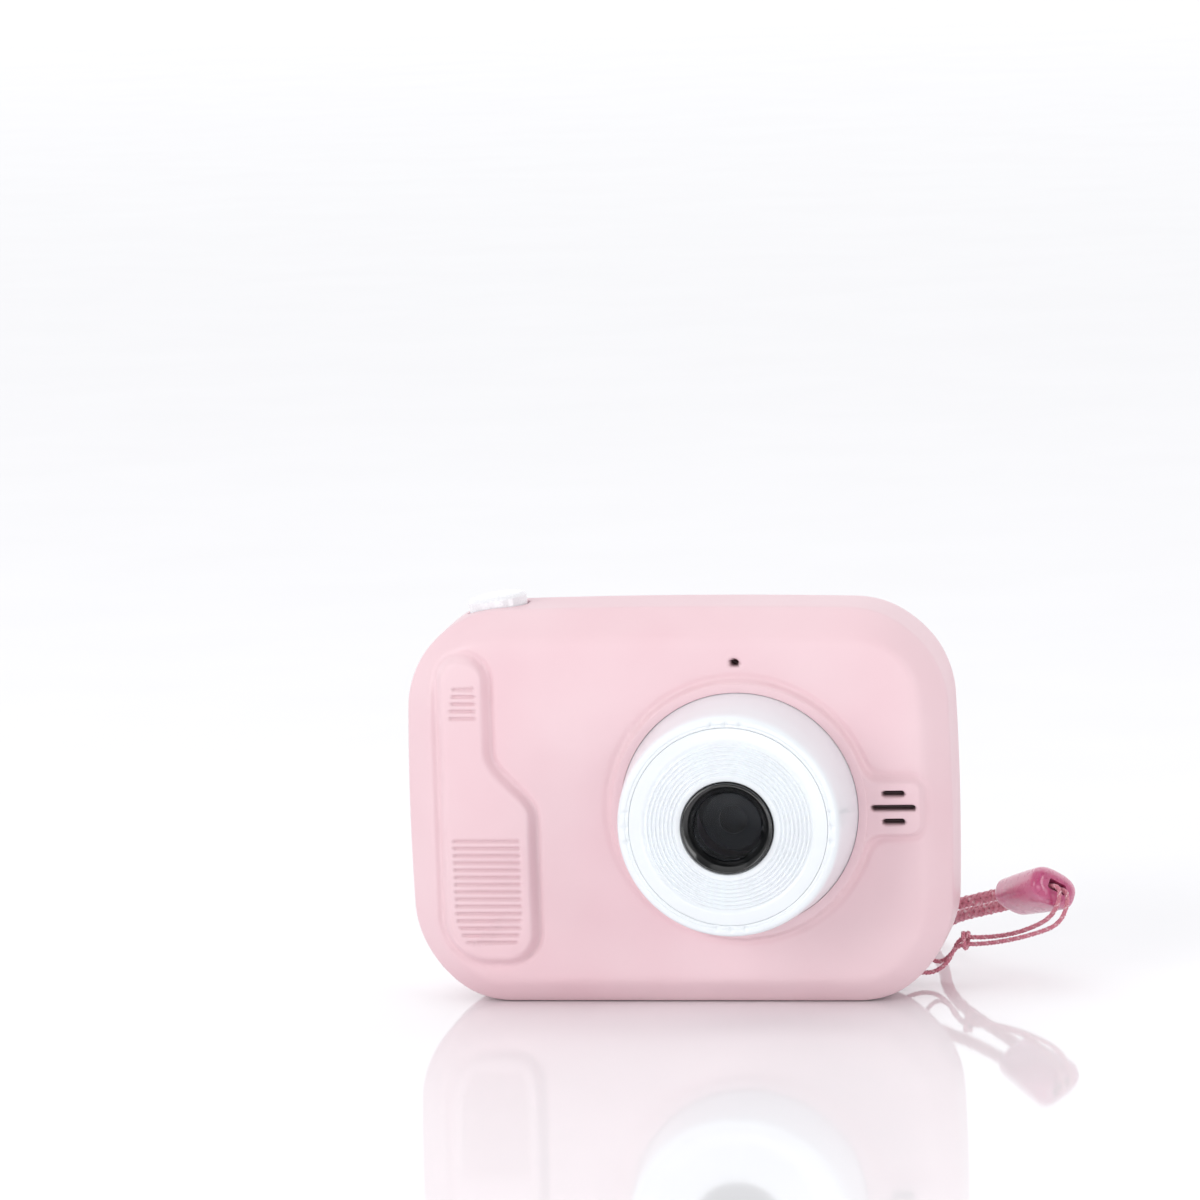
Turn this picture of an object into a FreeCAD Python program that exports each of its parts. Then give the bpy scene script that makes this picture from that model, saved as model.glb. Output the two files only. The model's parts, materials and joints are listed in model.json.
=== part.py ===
"""Kids digital camera: a pink two-shell case with a white lens barrel, keys, screen and a wrist cord.

Frame: +X to the right when the lens faces the viewer, +Z up, and the lens points along -Y.
The origin is the middle of the flat underside.  "Forward" below is the distance along -Y.
All lengths are millimetres.
"""
import FreeCAD, Part
import math
import os
import Sketcher
from FreeCAD import Placement, Rotation, Vector

doc = FreeCAD.newDocument("kids_camera")
sheet = doc.addObject("Spreadsheet::Sheet", "Sizes")

# ---------------------------------------------------------------- driving dimensions
SIZES = {
    # case
    "case_width": 82.0,
    "case_height": 60.0,
    "corner_radius": 15.0,
    "side_forward": 6.5,          # the straight side ends this far forward
    "seam_back": 5.0,             # the shells meet this far behind the origin
    "front_forward": 11.0,        # front face
    "front_bevel": 3.9,           # how far the bevel steps in at the front face
    "rear_back": 12.0,            # rear face, behind the origin
    "rear_bevel": 3.5,
    "wall": 1.8,
    "edge_round": 0.5,
    "tongue_height": 1.1,
    "tongue_wall": 1.0,
    "fit_gap": 0.1,
    # lens
    "lens_across": 9.8,
    "lens_reach": 15.5,           # bezel front, ahead of the front face
    "seat_radius": 18.2,
    "seat_depth": 0.8,
    "ring_radius": 19.5,
    "ring_rise": 0.9,
    "lens_hole_radius": 9.5,
    "barrel_base_radius": 18.05,
    "barrel_rim_radius": 16.5,
    "barrel_lip_radius": 15.6,
    "barrel_wall": 1.7,
    "barrel_floor": 3.0,
    "ring_edge_radius": 14.6,
    "ring_thickness": 2.8,
    "groove_outer_radius": 12.6,
    "groove_pitch": 0.62,
    "groove_depth": 0.35,
    "bezel_radius": 6.7,
    "window_radius": 5.0,
    "window_thickness": 0.9,
    "pupil_radius": 2.1,
    "holder_radius": 6.0,
    "holder_flange_radius": 12.3,
    "element_radius": 2.6,
    # speaker tab
    "tab_left": 25.0,
    "tab_right": 37.0,
    "tab_middle": 30.35,
    "tab_height": 8.4,
    "tab_round": 2.0,
    "slot_width": 0.8,
    "slot_pitch": 2.1,
    "long_slot_left": 29.5,
    "long_slot_right": 36.0,
    "short_slot_left": 31.1,
    "short_slot_right": 34.4,
    "speaker_across": 31.0,
    "speaker_radius": 5.0,
    "speaker_depth": 3.2,
    "microphone_height": 52.05,
    "microphone_hole_radius": 0.6,
    "microphone_radius": 2.0,
    # grip
    "grip_rise": 1.6,
    "grip_left": -35.4,
    "grip_narrow_right": -27.7,
    "grip_wide_right": -21.2,
    "grip_bottom": 6.8,
    "grip_top": 53.5,
    "grip_neck_low": 30.4,
    "grip_neck_high": 38.4,
    "grip_shoulder": 3.6,         # how far the top left corner is cut off
    "grip_heel": 6.0,             # how far the bottom left corner is cut off
    "grip_corner_round": 1.8,
    "grip_edge_round": 0.9,
    "rib_pitch": 1.1,
    "rib_width": 0.55,
    "rib_depth": 0.5,
    "upper_rib_left": -33.1,
    "upper_rib_right": -29.6,
    "upper_rib_start": 44.1,
    "lower_rib_left": -33.4,
    "lower_rib_right": -23.5,
    "lower_rib_start": 10.15,
    "last_rib_left": -31.8,
    "last_rib_right": -24.3,
    # shutter button
    "button_across": -27.5,
    "button_height": 59.9,
    "button_tilt": 8.0,
    "button_radius": 4.4,
    "button_rise": 1.3,
    "button_flange_radius": 5.3,
    # strap bar
    "bar_across": 31.0,
    "bar_height": 6.0,
    "bar_radius": 1.0,
    "notch_across": 34.2,
    "notch_height": 6.0,
    "notch_radius": 5.8,
    # screws
    "post_radius": 2.2,
    "post_gap": 3.0,              # where the front posts end, behind the origin
    "screw_core_radius": 0.8,
    "screw_pass_radius": 1.0,
    "screw_well_radius": 1.7,
    "screw_well_depth": 4.0,
    "screw_head_radius": 1.5,
    "barrel_screw_hole": 0.8,
    "holder_screw_hole": 0.6,
    # screen and boards
    "screen_across": 8.5,
    "screen_middle": 31.0,
    "screen_width": 45.4,
    "screen_height": 35.4,
    "view_width": 41.0,
    "view_height": 31.0,
    "board_back": 4.6,            # rear surface of the main board, behind the origin
    "board_thickness": 1.2,
    # keys
    "pad_across": -24.2,
    "pad_middle": 26.0,
    "key_pitch": 6.4,
    "key_radius": 2.3,
    "ok_radius": 2.9,
    "upper_key_height": 46.0,
    "upper_key_offset": 4.6,
    "key_rise": 0.8,
    "key_travel": 0.5,
    "key_gap": 0.15,
    "key_flange": 0.45,
    # port flap on the left side
    "flap_forward": -0.8,
    "flap_middle": 29.0,
    "flap_width": 6.4,
    "flap_length": 24.0,
    "flap_thickness": 1.15,
    "flap_gap": 0.2,
    # wrist cord
    "tie_diameter": 0.8,
    "cord_diameter": 2.0,
    "clasp_length": 12.0,
    "clasp_width": 8.2,
    "clasp_thickness": 5.4,
    "clasp_corner_round": 2.6,
    "clasp_edge_round": 1.2,
    "clasp_slot_width": 3.0,
    "clasp_slot_height": 1.3,
    "clasp_slot_depth": 2.0,
    "clasp_socket_depth": 3.0,
}


class Dim:
    """A length: its number, and the expression that binds it to the sheet."""

    def __init__(self, number, text):
        self.number = number
        self.text = text

    @staticmethod
    def of(value):
        return value if isinstance(value, Dim) else Dim(float(value), f"({float(value)})")

    def __add__(self, other):
        other = Dim.of(other)
        return Dim(self.number + other.number, f"({self.text} + {other.text})")

    def __sub__(self, other):
        other = Dim.of(other)
        return Dim(self.number - other.number, f"({self.text} - {other.text})")

    def __mul__(self, other):
        other = Dim.of(other)
        return Dim(self.number * other.number, f"({self.text} * {other.text})")

    def __truediv__(self, other):
        other = Dim.of(other)
        return Dim(self.number / other.number, f"({self.text} / {other.text})")

    def __neg__(self):
        return Dim.of(0) - self

    def __radd__(self, other):
        return Dim.of(other) + self

    def __rsub__(self, other):
        return Dim.of(other) - self

    def __rmul__(self, other):
        return Dim.of(other) * self


class Sizes:
    """Every cell of the sheet, as a Dim with the cell's name."""

    def __init__(self):
        for row, (alias, number) in enumerate(SIZES.items(), start=1):
            sheet.set(f"A{row}", alias)
            sheet.set(f"B{row}", str(number))
            sheet.setAlias(f"B{row}", alias)
            setattr(self, alias, Dim(number, f"Sizes.{alias}"))


S = Sizes()
doc.recompute()

# Derived places, each bound to the sheet through its expression.
FRONT = S.front_forward
SIDE_FRONT = S.side_forward
SIDE = S.seam_back
REAR = -S.rear_back
MIDDLE = S.case_height / 2
INNER_FRONT = FRONT - S.wall
INNER_REAR = REAR + S.wall
INNER_FRONT_INSET = S.wall + 2.8
INNER_REAR_INSET = S.wall + 2.6
LENS_FRONT = FRONT + S.lens_reach
BOARD_REAR = -S.board_back
BOARD_FRONT = BOARD_REAR + S.board_thickness
SINK = 0.2                       # raised shapes start this far inside the face they stand on
THROUGH = S.wall + 1             # deep enough to pass through the wall
POSTS = [(-34.0, 43.5), (-34.0, 13.5), (34.0, 44.0), (34.0, 20.5)]
BARREL_SCREW_CIRCLE = 14.8
HOLDER_SCREW_CIRCLE = 11.0
SPRING_RADIUS = 3.1
SPRING_WIRE_RADIUS = 0.2
PORT_BACK = 1.9                  # the charging port's middle, behind the origin
PORT_HEIGHT = 35.0
PORT_DEPTH = 2.9
PORT_WIDTH = 9.0
CARD_BACK = 2.7
CARD_HEIGHT = 23.4
CARD_WIDTH = 11.0
KEYS = [                         # label, across, height, radius
    ("key_ok", S.pad_across, S.pad_middle, S.ok_radius),
    ("key_up", S.pad_across, S.pad_middle + S.key_pitch, S.key_radius),
    ("key_down", S.pad_across, S.pad_middle - S.key_pitch, S.key_radius),
    ("key_left", S.pad_across + S.key_pitch, S.pad_middle, S.key_radius),
    ("key_right", S.pad_across - S.key_pitch, S.pad_middle, S.key_radius),
    ("key_power", S.pad_across - S.upper_key_offset, S.upper_key_height, S.key_radius),
    ("key_mode", S.pad_across + S.upper_key_offset, S.upper_key_height, S.key_radius),
]

parts = []


# ---------------------------------------------------------------- helpers
def keep(thing, label):
    """Name a finished sub-part and put it on the list of files to write."""
    thing.Label = label
    parts.append(thing)
    return thing


def bind(thing, path, dim):
    thing.setExpression(path, Dim.of(dim).text)


def move_to(thing, x, y, z):
    bind(thing, "Placement.Base.x", x)
    bind(thing, "Placement.Base.y", y)
    bind(thing, "Placement.Base.z", z)


def origin_plane(body, role):
    return next(item for item in body.Origin.OriginFeatures if item.Role == role)


def sketch_on(body, role, distance=0.0):
    """A sketch on one of the body's own origin planes, moved along the plane's normal."""
    sketch = body.newObject("Sketcher::SketchObject", f"{body.Name}_sketch")
    sketch.AttachmentSupport = [(origin_plane(body, role), "")]
    sketch.MapMode = "FlatFace"
    bind(sketch, "AttachmentOffset.Base.z", distance)
    return sketch


def face_sketch(body, forward):
    """A sketch that faces the viewer: its axes are X and Z, at this distance forward."""
    return sketch_on(body, "XZ_Plane", forward)


def fix(sketch, kind, places, dim):
    """Add a dimension to a sketch and bind it to the sheet."""
    dim = Dim.of(dim)
    index = sketch.addConstraint(Sketcher.Constraint(kind, *places, dim.number))
    sketch.setExpression(f"Constraints[{index}]", dim.text)


def fix_point(sketch, geometry, point, x, z):
    fix(sketch, "DistanceX", (-1, 1, geometry, point), x)
    fix(sketch, "DistanceY", (-1, 1, geometry, point), z)


def add_circle(sketch, x, z, radius):
    x, z, radius = Dim.of(x), Dim.of(z), Dim.of(radius)
    circle = Part.Circle(Vector(x.number, z.number, 0), Vector(0, 0, 1), radius.number)
    index = sketch.addGeometry(circle)
    fix(sketch, "Radius", (index,), radius)
    fix_point(sketch, index, 3, x, z)


def add_polygon(sketch, points):
    """A closed outline of straight lines, each corner bound to the sheet."""
    points = [(Dim.of(x), Dim.of(z)) for x, z in points]
    count = len(points)
    vectors = [Vector(x.number, z.number, 0) for x, z in points]
    lines = [sketch.addGeometry(Part.LineSegment(vectors[i], vectors[(i + 1) % count]))
             for i in range(count)]
    for i, line in enumerate(lines):
        following = lines[(i + 1) % count]
        sketch.addConstraint(Sketcher.Constraint("Coincident", line, 2, following, 1))
    for line, (x, z) in zip(lines, points):
        fix_point(sketch, line, 1, x, z)


def add_round_box(sketch, x, z, width, height, radius):
    """A rectangle centred on x, z whose four corners have one radius."""
    x, z, width, height, radius = map(Dim.of, (x, z, width, height, radius))
    reach_x = width / 2 - radius
    reach_z = height / 2 - radius
    signs = [(1, 1), (-1, 1), (-1, -1), (1, -1)]
    arcs = []
    for quarter, (side, rise) in enumerate(signs):
        centre = Vector(x.number + side * reach_x.number, z.number + rise * reach_z.number, 0)
        circle = Part.Circle(centre, Vector(0, 0, 1), radius.number)
        start = quarter * math.pi / 2
        arcs.append(sketch.addGeometry(Part.ArcOfCircle(circle, start, start + math.pi / 2)))
    for quarter, arc in enumerate(arcs):
        following = arcs[(quarter + 1) % 4]
        start = sketch.getPoint(arc, 2)
        end = sketch.getPoint(following, 1)
        line = sketch.addGeometry(Part.LineSegment(start, end))
        sketch.addConstraint(Sketcher.Constraint("Tangent", arc, 2, line, 1))
        sketch.addConstraint(Sketcher.Constraint("Tangent", line, 2, following, 1))
        direction = "Horizontal" if quarter % 2 == 0 else "Vertical"
        sketch.addConstraint(Sketcher.Constraint(direction, line))
    for arc in arcs[1:]:
        sketch.addConstraint(Sketcher.Constraint("Equal", arcs[0], arc))
    fix(sketch, "Radius", (arcs[0],), radius)
    fix(sketch, "DistanceX", (arcs[1], 3, arcs[0], 3), reach_x * 2)
    fix(sketch, "DistanceY", (arcs[2], 3, arcs[1], 3), reach_z * 2)
    fix_point(sketch, arcs[2], 3, x - reach_x, z - reach_z)


def case_outline(body, forward, inset):
    """The case's outline, stepped in by inset all round."""
    sketch = face_sketch(body, forward)
    inset = Dim.of(inset)
    add_round_box(sketch, 0, MIDDLE, S.case_width - inset * 2, S.case_height - inset * 2,
                  S.corner_radius - inset)
    return sketch


def pad(body, sketch, length, backward=False):
    feature = body.newObject("PartDesign::Pad", f"{body.Name}_pad")
    feature.Profile = sketch
    feature.Reversed = backward
    bind(feature, "Length", length)
    doc.recompute()
    return feature


def pocket(body, sketch, length, along_normal=False):
    """Cut the sketch away, against its normal unless told otherwise, and check that it cut."""
    before = body.Shape.Volume
    feature = body.newObject("PartDesign::Pocket", f"{body.Name}_pocket")
    feature.Profile = sketch
    feature.Reversed = along_normal
    bind(feature, "Length", length)
    doc.recompute()
    if not body.Shape.Volume < before:
        raise RuntimeError(f"{feature.Name} cuts nothing")
    return feature


def loft(body, kind, first, second):
    feature = body.newObject(f"PartDesign::{kind}", f"{body.Name}_loft")
    feature.Profile = first
    feature.Sections = [second]
    feature.Ruled = True
    doc.recompute()
    return feature


def round_edges(body, test, radius):
    """Round the edges of the body's tip whose middle passes the test."""
    tip = body.Tip
    names = []
    for index, edge in enumerate(tip.Shape.Edges, start=1):
        middle = edge.valueAt((edge.FirstParameter + edge.LastParameter) / 2)
        if test(middle, edge):
            names.append(f"Edge{index}")
    feature = body.newObject("PartDesign::Fillet", f"{body.Name}_round")
    feature.Base = (tip, names)
    bind(feature, "Radius", radius)
    doc.recompute()
    if not body.Shape.isValid() or body.Shape.Volume < 0.9 * tip.Shape.Volume:
        raise RuntimeError(f"{feature.Name} spoils the shape")
    return feature


def new_body(label):
    return keep(doc.addObject("PartDesign::Body", label), label)


def spin(body, profile):
    """Turn a closed (radius, height) profile round the body's own upright axis."""
    sketch = sketch_on(body, "XZ_Plane")
    add_polygon(sketch, profile)
    feature = body.newObject("PartDesign::Revolution", f"{body.Name}_turn")
    feature.Profile = sketch
    feature.ReferenceAxis = (sketch, ["V_Axis"])
    feature.Angle = 360
    return feature


def turned(label, profile, across=None, height=None):
    """A turned piece on an axis along -Y; the profile is (radius, forward) points."""
    body = new_body(label)
    spin(body, profile)
    body.Placement = Placement(Vector(0, 0, 0), Rotation(Vector(1, 0, 0), 90))
    move_to(body, S.lens_across if across is None else across, 0, MIDDLE if height is None else height)
    doc.recompute()
    return body


def block(label, across, forward, height):
    """A plain box from three (low, high) pairs."""
    box = doc.addObject("Part::Box", label)
    (left, right), (back, front), (low, high) = [(Dim.of(a), Dim.of(b)) for a, b in (across, forward, height)]
    bind(box, "Length", right - left)
    bind(box, "Width", front - back)
    bind(box, "Height", high - low)
    move_to(box, left, -front, low)
    return box


def rod(label, across, height, back, front, radius):
    """A cylinder along -Y from back to front."""
    cylinder = doc.addObject("Part::Cylinder", label)
    back, front = Dim.of(back), Dim.of(front)
    bind(cylinder, "Radius", radius)
    bind(cylinder, "Height", front - back)
    cylinder.Placement = Placement(Vector(0, 0, 0), Rotation(Vector(1, 0, 0), 90))
    move_to(cylinder, across, -back, height)
    return cylinder


def cut(label, base, tool):
    result = doc.addObject("Part::Cut", label)
    result.Base = base
    result.Tool = tool
    return result


def fuse(label, things):
    result = doc.addObject("Part::MultiFuse", label)
    result.Shapes = things
    return result


def group(label, things):
    result = doc.addObject("Part::Compound", label)
    result.Links = things
    return result


# ---------------------------------------------------------------- front cover
def front_cover():
    """The front shell: straight side, bevelled front, lens seat, speaker tab and grip."""
    body = new_body("front_cover")
    pad(body, case_outline(body, -SIDE, 0), SIDE + SIDE_FRONT)
    loft(body, "AdditiveLoft", case_outline(body, SIDE_FRONT, 0), case_outline(body, FRONT, S.front_bevel))
    pocket(body, case_outline(body, -SIDE, S.wall), SIDE + SIDE_FRONT, along_normal=True)
    loft(body, "SubtractiveLoft", case_outline(body, SIDE_FRONT, S.wall),
         case_outline(body, INNER_FRONT, INNER_FRONT_INSET))
    round_edges(body, lambda p, e: abs(p.y + FRONT.number) < 0.01, S.edge_round)
    lens_surround(body)
    grip(body)
    front_posts(body)
    shutter_hole(body)
    port_openings(body)


def lens_surround(body):
    """The raised ring and speaker tab, the seat that the barrel stands in, and the holes."""
    ring = face_sketch(body, FRONT - SINK)
    add_circle(ring, S.lens_across, MIDDLE, S.ring_radius)
    pad(body, ring, S.ring_rise + SINK)
    tab = face_sketch(body, FRONT - SINK)
    add_round_box(tab, (S.tab_left + S.tab_right) / 2, S.tab_middle,
                  S.tab_right - S.tab_left, S.tab_height, S.tab_round)
    pad(body, tab, S.ring_rise + SINK)
    seat = face_sketch(body, FRONT + S.ring_rise)
    add_circle(seat, S.lens_across, MIDDLE, S.seat_radius)
    pocket(body, seat, S.ring_rise + S.seat_depth)
    hole = face_sketch(body, FRONT)
    add_circle(hole, S.lens_across, MIDDLE, S.lens_hole_radius)
    pocket(body, hole, THROUGH)
    slots = face_sketch(body, FRONT + S.ring_rise)
    rows = [(0, S.long_slot_left, S.long_slot_right),
            (S.slot_pitch, S.short_slot_left, S.short_slot_right),
            (-S.slot_pitch, S.short_slot_left, S.short_slot_right)]
    for rise, left, right in rows:
        add_round_box(slots, (left + right) / 2, S.tab_middle + rise, right - left,
                      S.slot_width, S.slot_width / 2 - 0.01)
    pocket(body, slots, S.ring_rise + THROUGH)
    microphone = face_sketch(body, FRONT)
    add_circle(microphone, S.lens_across, S.microphone_height, S.microphone_hole_radius)
    pocket(body, microphone, THROUGH)
    screws = face_sketch(body, FRONT)
    for across, height in around_lens(BARREL_SCREW_CIRCLE, 4, 45):
        add_circle(screws, across, height, S.barrel_screw_hole)
    for across, height in around_lens(HOLDER_SCREW_CIRCLE, 3, 90):
        add_circle(screws, across, height, S.holder_screw_hole)
    pocket(body, screws, THROUGH)


def around_lens(radius, count, first_angle):
    """Points evenly spaced on a circle about the lens axis."""
    angles = [math.radians(first_angle + 360 * i / count) for i in range(count)]
    return [(S.lens_across + radius * math.cos(a), MIDDLE + radius * math.sin(a)) for a in angles]


def grip(body):
    """The moulded grip: narrow above, wide below, with two blocks of ribs."""
    outline = face_sketch(body, FRONT - SINK)
    add_polygon(outline, [
        (S.grip_left, S.grip_bottom + S.grip_heel), (S.grip_left + S.grip_heel, S.grip_bottom),
        (S.grip_wide_right, S.grip_bottom), (S.grip_wide_right, S.grip_neck_low),
        (S.grip_narrow_right, S.grip_neck_high), (S.grip_narrow_right, S.grip_top),
        (S.grip_left + S.grip_shoulder, S.grip_top), (S.grip_left, S.grip_top - S.grip_shoulder)])
    pad(body, outline, S.grip_rise + SINK)
    top = -(FRONT.number + S.grip_rise.number)
    right = S.grip_wide_right.number + 1

    def is_upright(middle, edge):
        along = abs(edge.tangentAt(edge.FirstParameter).y) > 0.99
        return along and top < middle.y < -FRONT.number and middle.x < right

    round_edges(body, is_upright, S.grip_corner_round)
    round_edges(body, lambda p, e: abs(p.y - top) < 0.01 and p.x < right, S.grip_edge_round)
    rib_rows(body, S.upper_rib_left, S.upper_rib_right, S.upper_rib_start, 5)
    rib_rows(body, S.lower_rib_left, S.lower_rib_right, S.lower_rib_start + S.rib_pitch * 2, 13)
    rib_rows(body, S.last_rib_left, S.last_rib_right, S.lower_rib_start, 2)


def rib_rows(body, left, right, start, count):
    """One groove across the grip, repeated upwards at the rib pitch."""
    sketch = face_sketch(body, FRONT + S.grip_rise)
    add_round_box(sketch, (left + right) / 2, start, right - left, S.rib_width, S.rib_width / 2 - 0.01)
    groove = pocket(body, sketch, S.rib_depth)
    before = body.Shape.Volume
    rows = body.newObject("PartDesign::LinearPattern", f"{body.Name}_rows")
    rows.Originals = [groove]
    rows.Direction = (sketch, ["V_Axis"])
    rows.Occurrences = count
    bind(rows, "Length", S.rib_pitch * (count - 1))
    body.Tip = rows
    doc.recompute()
    if not body.Shape.Volume < before:
        raise RuntimeError(f"{rows.Name} cuts nothing")


def front_posts(body):
    """Four screw posts that the rear cover's screws go into."""
    posts = face_sketch(body, INNER_FRONT + SINK)
    holes = face_sketch(body, -S.post_gap)
    for across, height in POSTS:
        add_circle(posts, across, height, S.post_radius)
        add_circle(holes, across, height, S.screw_core_radius)
    pad(body, posts, INNER_FRONT + SINK + S.post_gap, backward=True)
    pocket(body, holes, 6.0, along_normal=True)


def shutter_hole(body):
    """The tilted round hole that the shutter button slides in."""
    sketch = body.newObject("Sketcher::SketchObject", "shutter_hole_sketch")
    sketch.AttachmentSupport = [(origin_plane(body, "XY_Plane"), "")]
    sketch.MapMode = "FlatFace"
    tilt = Rotation(Vector(0, 1, 0), -S.button_tilt.number)
    axis = tilt.multVec(Vector(0, 0, 1))
    start = Vector(S.button_across.number, 0, S.button_height.number) + axis * 3
    sketch.AttachmentOffset = Placement(start, tilt)
    add_circle(sketch, 0, 0, S.button_radius + S.key_gap)
    pocket(body, sketch, 6.0)


def port_openings(body):
    """The flap's recess in the left side, and the openings for the port and the card."""
    left = -S.case_width / 2
    recess = sketch_on(body, "YZ_Plane", left)
    add_round_box(recess, -S.flap_forward, S.flap_middle, S.flap_width + S.flap_gap * 2,
                  S.flap_length + S.flap_gap * 2, 0.6)
    pocket(body, recess, S.flap_thickness + 0.25, along_normal=True)
    openings = sketch_on(body, "YZ_Plane", left)
    add_round_box(openings, PORT_BACK, PORT_HEIGHT, PORT_DEPTH + 0.3, PORT_WIDTH + 0.3, 0.6)
    add_round_box(openings, CARD_BACK, CARD_HEIGHT, 1.3, CARD_WIDTH + 0.4, 0.3)
    pocket(body, openings, 3.0, along_normal=True)


# ---------------------------------------------------------------- rear cover
def rear_cover():
    """The rear shell: bevelled, with the screen's recess, key holes and the strap notch."""
    body = new_body("rear_cover")
    loft(body, "AdditiveLoft", case_outline(body, -SIDE - 0.02, 0), case_outline(body, REAR, S.rear_bevel))
    loft(body, "SubtractiveLoft", case_outline(body, -SIDE - 0.02, S.wall),
         case_outline(body, INNER_REAR, INNER_REAR_INSET))
    tongue = case_outline(body, -SIDE - 0.5, S.wall + S.fit_gap)
    inset = S.wall + S.fit_gap + S.tongue_wall
    add_round_box(tongue, 0, MIDDLE, S.case_width - inset * 2, S.case_height - inset * 2,
                  S.corner_radius - inset)
    pad(body, tongue, S.tongue_height + 0.5)
    button_room = face_sketch(body, -SIDE - 0.02)
    add_round_box(button_room, S.button_across + 0.5, MIDDLE + 24.5, 12.6, 8.0, 0.5)
    pocket(body, button_room, S.tongue_height + 0.1, along_normal=True)
    strap_block(body)
    rear_posts(body)
    rear_openings(body)


def sector(sketch, inner, outer):
    """A ring sector about the lower right corner's centre, as plain geometry."""
    centre_x = S.case_width / 2 - S.corner_radius
    centre_z = S.corner_radius
    start, stop = math.radians(-95), math.radians(5)
    middle = Vector(centre_x.number, centre_z.number, 0)

    def at(radius, angle):
        return middle + Vector(radius * math.cos(angle), radius * math.sin(angle), 0)

    inner_arc = Part.ArcOfCircle(Part.Circle(middle, Vector(0, 0, 1), inner), start, stop)
    outer_arc = Part.ArcOfCircle(Part.Circle(middle, Vector(0, 0, 1), outer), start, stop)
    sketch.addGeometry(outer_arc)
    sketch.addGeometry(Part.LineSegment(at(outer, stop), at(inner, stop)))
    sketch.addGeometry(inner_arc)
    sketch.addGeometry(Part.LineSegment(at(inner, start), at(outer, start)))
    return sketch


def strap_block(body):
    """Fill the lower right corner, then cut the notch that the strap bar crosses."""
    loft(body, "AdditiveLoft", sector(face_sketch(body, -SIDE - 0.02), 5.5, 14.4),
         sector(face_sketch(body, INNER_REAR - 0.5), 5.5, 11.4))
    notch = face_sketch(body, -SIDE - 0.8)
    add_circle(notch, S.notch_across, S.notch_height, S.notch_radius)
    pocket(body, notch, 4.4)
    bar = face_sketch(body, -SIDE - 0.02)
    add_circle(bar, S.bar_across, S.bar_height, S.bar_radius)
    pocket(body, bar, 6.0)


def rear_posts(body):
    """Four posts that meet the front ones, each with a well for the screw's head."""
    posts = face_sketch(body, INNER_REAR - SINK)
    wells = face_sketch(body, REAR)
    shanks = face_sketch(body, REAR)
    for across, height in POSTS:
        add_circle(posts, across, height, S.post_radius)
        add_circle(wells, across, height, S.screw_well_radius)
        add_circle(shanks, across, height, S.screw_pass_radius)
    pad(body, posts, -INNER_REAR + SINK - S.post_gap - 0.2)
    pocket(body, wells, S.screw_well_depth, along_normal=True)
    pocket(body, shanks, S.screw_well_depth + 5, along_normal=True)


def rear_openings(body):
    """The screen's recess and opening, and a hole for each key."""
    recess = face_sketch(body, REAR)
    add_round_box(recess, S.screen_across, S.screen_middle, S.screen_width + 0.2, S.screen_height + 0.2, 2.6)
    pocket(body, recess, 0.95, along_normal=True)
    opening = face_sketch(body, REAR)
    add_round_box(opening, S.screen_across, S.screen_middle, S.view_width, S.view_height, 1.0)
    pocket(body, opening, S.wall + 0.5, along_normal=True)
    holes = face_sketch(body, REAR)
    for _, across, height, radius in KEYS:
        add_circle(holes, across, height, radius + S.key_gap)
    pocket(body, holes, S.wall + 0.5, along_normal=True)


# ---------------------------------------------------------------- lens
def lens():
    """Barrel, grooved ring, bezel, window, and the holder with its glass and sensor."""
    base = FRONT - S.seat_depth + 0.05
    floor = base + S.barrel_floor
    rim = LENS_FRONT - 2.4
    barrel = turned("lens_barrel", [
        (S.lens_hole_radius + 0.2, base), (S.barrel_base_radius, base), (S.barrel_rim_radius, rim),
        (S.barrel_rim_radius - 0.25, rim + 0.6), (S.barrel_lip_radius, rim + 0.85),
        (S.ring_edge_radius + 0.15, rim + 0.85), (S.ring_edge_radius + 0.15, rim - 1.2),
        (S.barrel_base_radius - S.barrel_wall - 0.3, floor), (S.lens_hole_radius + 0.2, floor)])
    screws = sketch_on(barrel, "XY_Plane", base)
    for i in range(4):
        angle = math.radians(45 + 90 * i)
        add_circle(screws, BARREL_SCREW_CIRCLE * math.cos(angle), BARREL_SCREW_CIRCLE * math.sin(angle), 0.7)
    pocket(barrel, screws, S.barrel_floor - 0.4, along_normal=True)
    face = LENS_FRONT - 1.5
    profile = [(S.bezel_radius + 0.1, face - S.ring_thickness), (S.ring_edge_radius - 0.9, face - S.ring_thickness),
               (S.ring_edge_radius - 0.9, floor + 0.1), (S.ring_edge_radius, floor + 0.1),
               (S.ring_edge_radius, face - 0.15), (S.groove_outer_radius, face)]
    for groove in range(8):
        radius = S.groove_outer_radius - S.groove_pitch * groove
        height = face + 0.1 * groove
        profile.append((radius - 0.03, height - S.groove_depth))
        profile.append((radius - S.groove_pitch * 0.55, height - S.groove_depth))
        profile.append((radius - S.groove_pitch * 0.58, height + 0.1))
        profile.append((radius - S.groove_pitch * 0.97, height + 0.1))
    profile.append((S.bezel_radius + 0.1, face + 0.85))
    turned("lens_ring", profile)
    front = LENS_FRONT
    turned("lens_bezel", [
        (S.window_radius - 0.7, front - 5.5), (S.bezel_radius, front - 5.5), (S.bezel_radius, front - 0.3),
        (S.bezel_radius - 0.35, front), (S.window_radius + 0.08, front - 1.5),
        (S.window_radius + 0.08, front - 2.5), (S.window_radius - 0.7, front - 2.5)])
    window = rod("lens_window", S.lens_across, MIDDLE, front - 2.5, front - 2.5 + S.window_thickness,
                 S.window_radius)
    keep(window, "lens_window")
    lens_core()


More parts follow.
